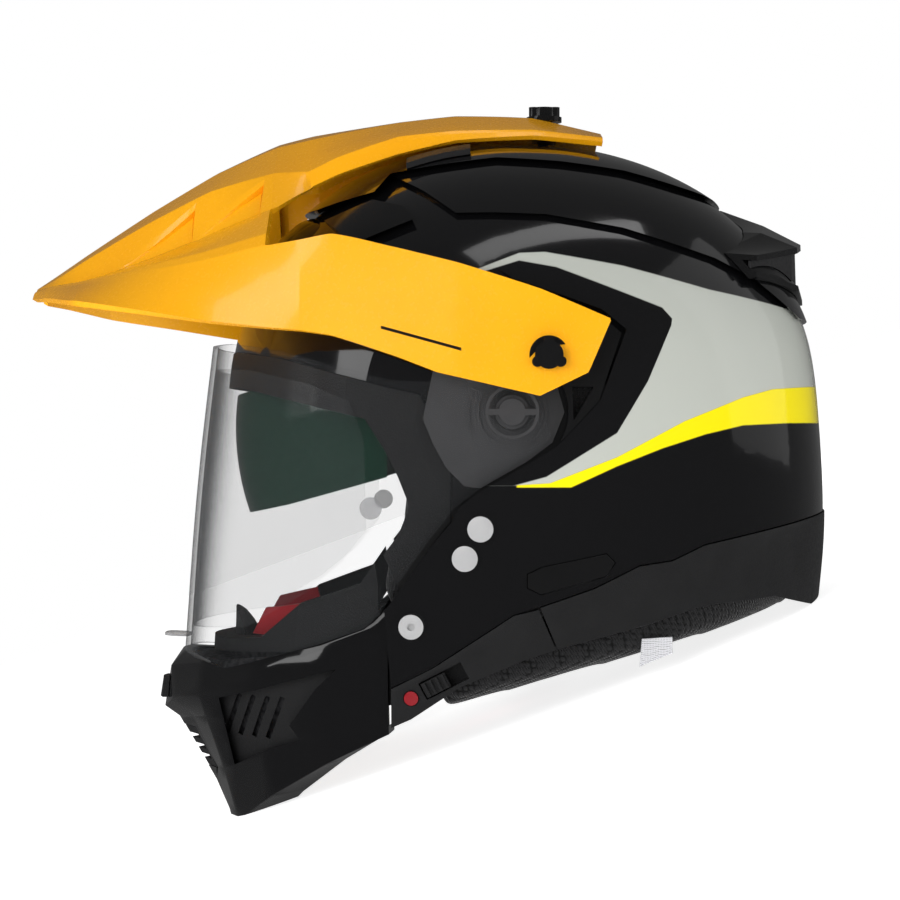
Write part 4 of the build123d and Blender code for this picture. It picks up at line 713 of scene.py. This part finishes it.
grid, keep = peak_sheet()
peak_top = trimmed(skin("peak_sheet", grid[:, ::-1], keep[:, ::-1]))
finished(peak_top, yellow_peak, "helmet", ["peak"], wall=0.0028, edge=0.0007, crisp=6.0)

# %% [markdown]
# A low ridge with three ribs stands on the brow, ahead of the fairing and under the open visor's path. The
# casing there is a saddle, so the ridge is its height line over the brow plus a bump that dies out at the
# edges. Its form is a guess.

# %% Brow ridge
RIDGE_FROM, RIDGE_TO, RIDGE_HALF = 30, 46, 50  # degrees round the pivot, and millimetres to each side
RIDGE_SUNK, RIDGE_TALL = 0.8, 5.2
RIB_COUNT, RIB_TALL, RIB_SHARE = 3, 0.5, 0.7
BROW_ANGLES, BROW_FACE = [30, 36, 42, 48], [135.6, 135.1, 134.4, 133.5]
BROW_ASIDE, BROW_DROP = [0, 10, 20, 30, 38, 45, 54], [0, 0.4, 1.65, 3.8, 6.0, 8.5, 12.4]


def brow_ridge(rows=36, columns=97):
    """Places at a distance from the pivot: the casing's own distance, plus a bump with ribs across it."""
    turn = np.linspace(RIDGE_FROM, RIDGE_TO, rows)[:, None]
    aside = np.linspace(-RIDGE_HALF, RIDGE_HALF, columns)[None, :]
    casing = np.interp(turn, BROW_ANGLES, BROW_FACE) - np.interp(np.abs(aside), BROW_ASIDE, BROW_DROP)
    along, across = (turn - RIDGE_FROM) / (RIDGE_TO - RIDGE_FROM), aside / RIDGE_HALF
    bump = (np.clip(4 * along * (1 - along), 0, 1) ** 0.6) * (1 - np.abs(across) ** 5)
    ribs = RIB_TALL * np.abs(np.sin(RIB_COUNT * math.pi * along)) * (np.abs(across) < RIB_SHARE)
    away = casing - RIDGE_SUNK + (RIDGE_TALL + ribs) * bump
    angle = np.radians(turn)
    return place(-away * np.cos(angle), aside, away * np.sin(angle))


ridge = skin("brow_ridge", brow_ridge())
finished(ridge, gloss_trim, "helmet", wall=0.0014)

# %% [markdown]
# The visor is lifted by a small tab at its lower edge, left of the middle: a blade that grows out of the
# face, thins towards its rim and has rounded corners.

# %% Lift tab
TAB_SPOT, TAB_HALF, TAB_REACH = (-158.2, -22.0, -105.0), 10.0, 6.0


def lift_tab(rings=9, turns=40):
    """A flat blade: rings of a rounded outline, the upper face from the middle out, then the lower."""
    angle = np.linspace(0, 2 * math.pi, turns, endpoint=False)[None, :]
    size = np.concatenate([np.linspace(0.02, 1, rings), np.linspace(1, 0.02, rings)])[:, None]
    face = np.concatenate([np.ones(rings), -np.ones(rings)])[:, None]
    across, ahead = (np.sign(wave) * np.abs(wave) ** 0.5 for wave in (np.cos(angle), np.sin(angle)))
    aside, out = TAB_SPOT[1] + TAB_HALF * size * across, TAB_REACH * size * ahead
    thick = face * (1.0 - 0.45 * np.clip(size, 0, 1) ** 4)
    return place(TAB_SPOT[0] - out, aside, TAB_SPOT[2] + thick + 0.05 * out)


tab = skin("lift_tab", lift_tab(), round_v=True, caps=True)
finished(tab, pin_plastic, "visor")

# %% [markdown]
# Webbing is flat tape 22 mm wide and 2 mm thick. Each side runs straight down inside the cheek, turns under
# the jaw and ends in the buckle. The route's corners are rounded by the tape's own stiffness, and the tape
# has slightly thicker selvedges.

# %% Chin straps
STRAP_X, STRAP_WIDE, STRAP_THICK = -18.0, 22.0, 2.0
STRAP_BEND, SELVEDGE_FROM = 8.0, 9  # the corners' radius, and the selvedge's distance from the middle


def rounded_route(points, radius, count=9):
    """Places along straight runs whose corners are arcs: both ends of an arc lie a tangent length back."""
    points = [np.array(p, float) for p in points]
    route = [points[0]]
    for before, corner, after in zip(points, points[1:], points[2:]):
        come, go = corner - before, after - corner
        come, go = come / np.linalg.norm(come), go / np.linalg.norm(go)
        turn = math.acos(np.clip(come @ go, -1, 1))
        back = radius * math.tan(turn / 2)
        start, end = corner - come * back, corner + go * back
        t = np.linspace(0, 1, count)[:, None]
        route += list((1 - t) ** 2 * start + 2 * t * (1 - t) * corner + t**2 * end)
    return np.array(route + [points[-1]])


def tape(name, route, side_sign):
    """Flat tape: round a rectangle with thick selvedges for each place on a route in the (y, z) plane."""
    along = np.gradient(route, axis=0)
    along /= np.linalg.norm(along, axis=1)[:, None]
    out = np.stack([-along[:, 1], along[:, 0]], axis=1)
    width = np.linspace(-1, 1, 13) * STRAP_WIDE / 2
    swell = STRAP_THICK / 2 * (0.86 + 0.14 * (np.abs(width) > SELVEDGE_FROM))
    across = np.concatenate([width, width[::-1]])
    lift = np.concatenate([swell, -swell])
    x = np.broadcast_to(STRAP_X + across, (len(route), len(across)))
    y = side_sign * (route[:, :1] + out[:, :1] * lift)
    z = route[:, 1:] + out[:, 1:] * lift
    grid = place(x, y, z)
    return skin(name, grid if side_sign < 0 else grid[:, ::-1], round_v=True, caps=True)


jaw_run = [(86.5, -57.0), (86.5, -90.0), (63.5, -112.5)]
for name, sign, end in (("strap_left", -1, 27.5), ("strap_right", 1, 9.2)):
    route = rounded_route(jaw_run + [(end, jaw_run[-1][1])], STRAP_BEND)
    piece = tape(name + "_tape", route, sign)
    finished(piece, webbing, "helmet", [name], edge=0.0004)

# %% [markdown]
# Pads are foam in cloth, so they are crowned and soft at every edge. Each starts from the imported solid,
# remeshed to even faces and smoothed, and is then blown up by a short cloth simulation; how far a point may
# move is capped, so a pad stays in its own space.

# %% Padding
VOXEL, PRESSURE, CLOTH_FRAMES = 0.004, 4.0, 20


def vertices_of(piece):
    """The places of a mesh's points, as an array."""
    flat = np.zeros(len(piece.data.vertices) * 3, np.float32)
    piece.data.vertices.foreach_get("co", flat)
    return flat.reshape(-1, 3).astype(float)


def baked(piece):
    """Applies the piece's modifiers, by reading the evaluated mesh back into the object."""
    graph = bpy.context.evaluated_depsgraph_get()
    shaped = bpy.data.meshes.new_from_object(piece.evaluated_get(graph), depsgraph=graph)
    piece.modifiers.clear()
    old, piece.data = piece.data, shaped
    shaped.name = old.name
    bpy.data.meshes.remove(old)
    piece.data.update()


def padded_from(node, name, finish, cap):
    """A pad in a node's place: an even remesh of it, blown up by cloth pressure, moved at most by cap."""
    mesh = nodes[node].data.copy()
    mesh.name = name
    piece = bpy.data.objects.new(name, mesh)
    bpy.context.collection.objects.link(piece)
    piece.data.materials.clear()
    bpy.context.view_layer.objects.active = piece
    even = piece.modifiers.new("even", "REMESH")
    even.mode, even.voxel_size, even.adaptivity = "VOXEL", VOXEL, 0.0
    baked(piece)
    relax = piece.modifiers.new("relax", "SMOOTH")
    relax.factor, relax.iterations = 0.5, 6
    baked(piece)
    start = vertices_of(piece)
    cloth = piece.modifiers.new("cloth", "CLOTH")
    cloth.settings.effector_weights.gravity = 0.0
    cloth.settings.use_pressure = True
    cloth.settings.uniform_pressure_force = PRESSURE
    cloth.settings.quality = 4
    cloth.point_cache.frame_start, cloth.point_cache.frame_end = 1, CLOTH_FRAMES
    for number in range(1, CLOTH_FRAMES + 1):
        scene.frame_set(number)
    baked(piece)
    end = vertices_of(piece)
    step = end - start
    size = np.linalg.norm(step, axis=1, keepdims=True)
    end = start + step * np.minimum(1.0, cap / np.maximum(size, 1e-9))
    piece.data.vertices.foreach_set("co", end.astype(np.float32).ravel())
    scene.frame_set(1)
    print(name, "moved up to", round(float(size.max()) * 1000, 1), "mm, capped at", cap * 1000)
    piece.data.update()
    finished(piece, finish, "helmet", [node], smooth=1)


padded_from("cheek_pad_left", "cheek_cushion_left", lining_cloth, 0.002)
padded_from("cheek_pad_right", "cheek_cushion_right", lining_cloth, 0.002)
padded_from("crown_pad", "crown_cushion", lining_cloth, 0.001)
padded_from("neck_roll", "roll_cushion", roll_mesh, 0.0012)

# %% [markdown]
# A woven tag is caught in the seam of the neck roll: white ribbon, a little wavy, drawn as one sheet.

# %% Tag
TAG_ASIDE, TAG_WAVE = -99.3, 0.35
tag_corners = np.array([[[59.1, -102.0], [72.9, -101.1]], [[57.9, -114.6], [72.9, -108.6]]])


def ribbon_tag(rows=9, columns=15):
    """A four-cornered ribbon: corners blended in both directions, with one shallow wave along it."""
    down, along = np.linspace(0, 1, rows)[:, None, None], np.linspace(0, 1, columns)[None, :, None]
    top = tag_corners[0, 0] * (1 - along) + tag_corners[0, 1] * along
    foot = tag_corners[1, 0] * (1 - along) + tag_corners[1, 1] * along
    flat = top * (1 - down) + foot * down
    wave = TAG_ASIDE - TAG_WAVE * np.sin(2.2 * math.pi * along[..., 0]) * down[..., 0]
    return place(flat[..., 0], wave, flat[..., 1])


tag = skin("ribbon_tag", ribbon_tag())
finished(tag, tag_cloth, "helmet", ["roll_tag"], wall=0.0009, edge=0.0002)

# %% [markdown]
# The floor is white and wide, and takes the helmet's soft shadow. It glows, less under the helmet and
# further out as white as the surround, so no horizon shows. Reflections leave it out. It isn't part of the
# helmet.

# %% Floor
FLOOR_HALF = 6
NEAR, FAR, NEAR_GLOW = 0.15, 0.6, 0.82
floor_mesh = bpy.data.meshes.new("floor")
corners = [(x * FLOOR_HALF, y * FLOOR_HALF, 0) for x, y in ((-1, -1), (1, -1), (1, 1), (-1, 1))]
floor_mesh.from_pydata(corners, [], [(0, 1, 2, 3)])
floor = bpy.data.objects.new("floor", floor_mesh)
bpy.context.collection.objects.link(floor)
paper = Finish("studio_paper")
fibre = paper.grain(30.0, 3.0)
reach = paper.lay("ShaderNodeVectorMath", {"operation": "LENGTH"}, {0: paper.spot()}, out="Value")
glow = reach.rise(NEAR, FAR, NEAR_GLOW, 1.0)
floor_mesh.materials.append(paper.done(
    Base_Color=paper.blend(fibre, (0.90, 0.90, 0.90, 1), (0.92, 0.92, 0.92, 1)), Roughness=0.9,
    Emission_Color=paper.blend(glow, (0, 0, 0, 1), (1, 1, 1, 1)), Emission_Strength=1.0,
    Specular_IOR_Level=0.0,
))
floor.visible_glossy = False
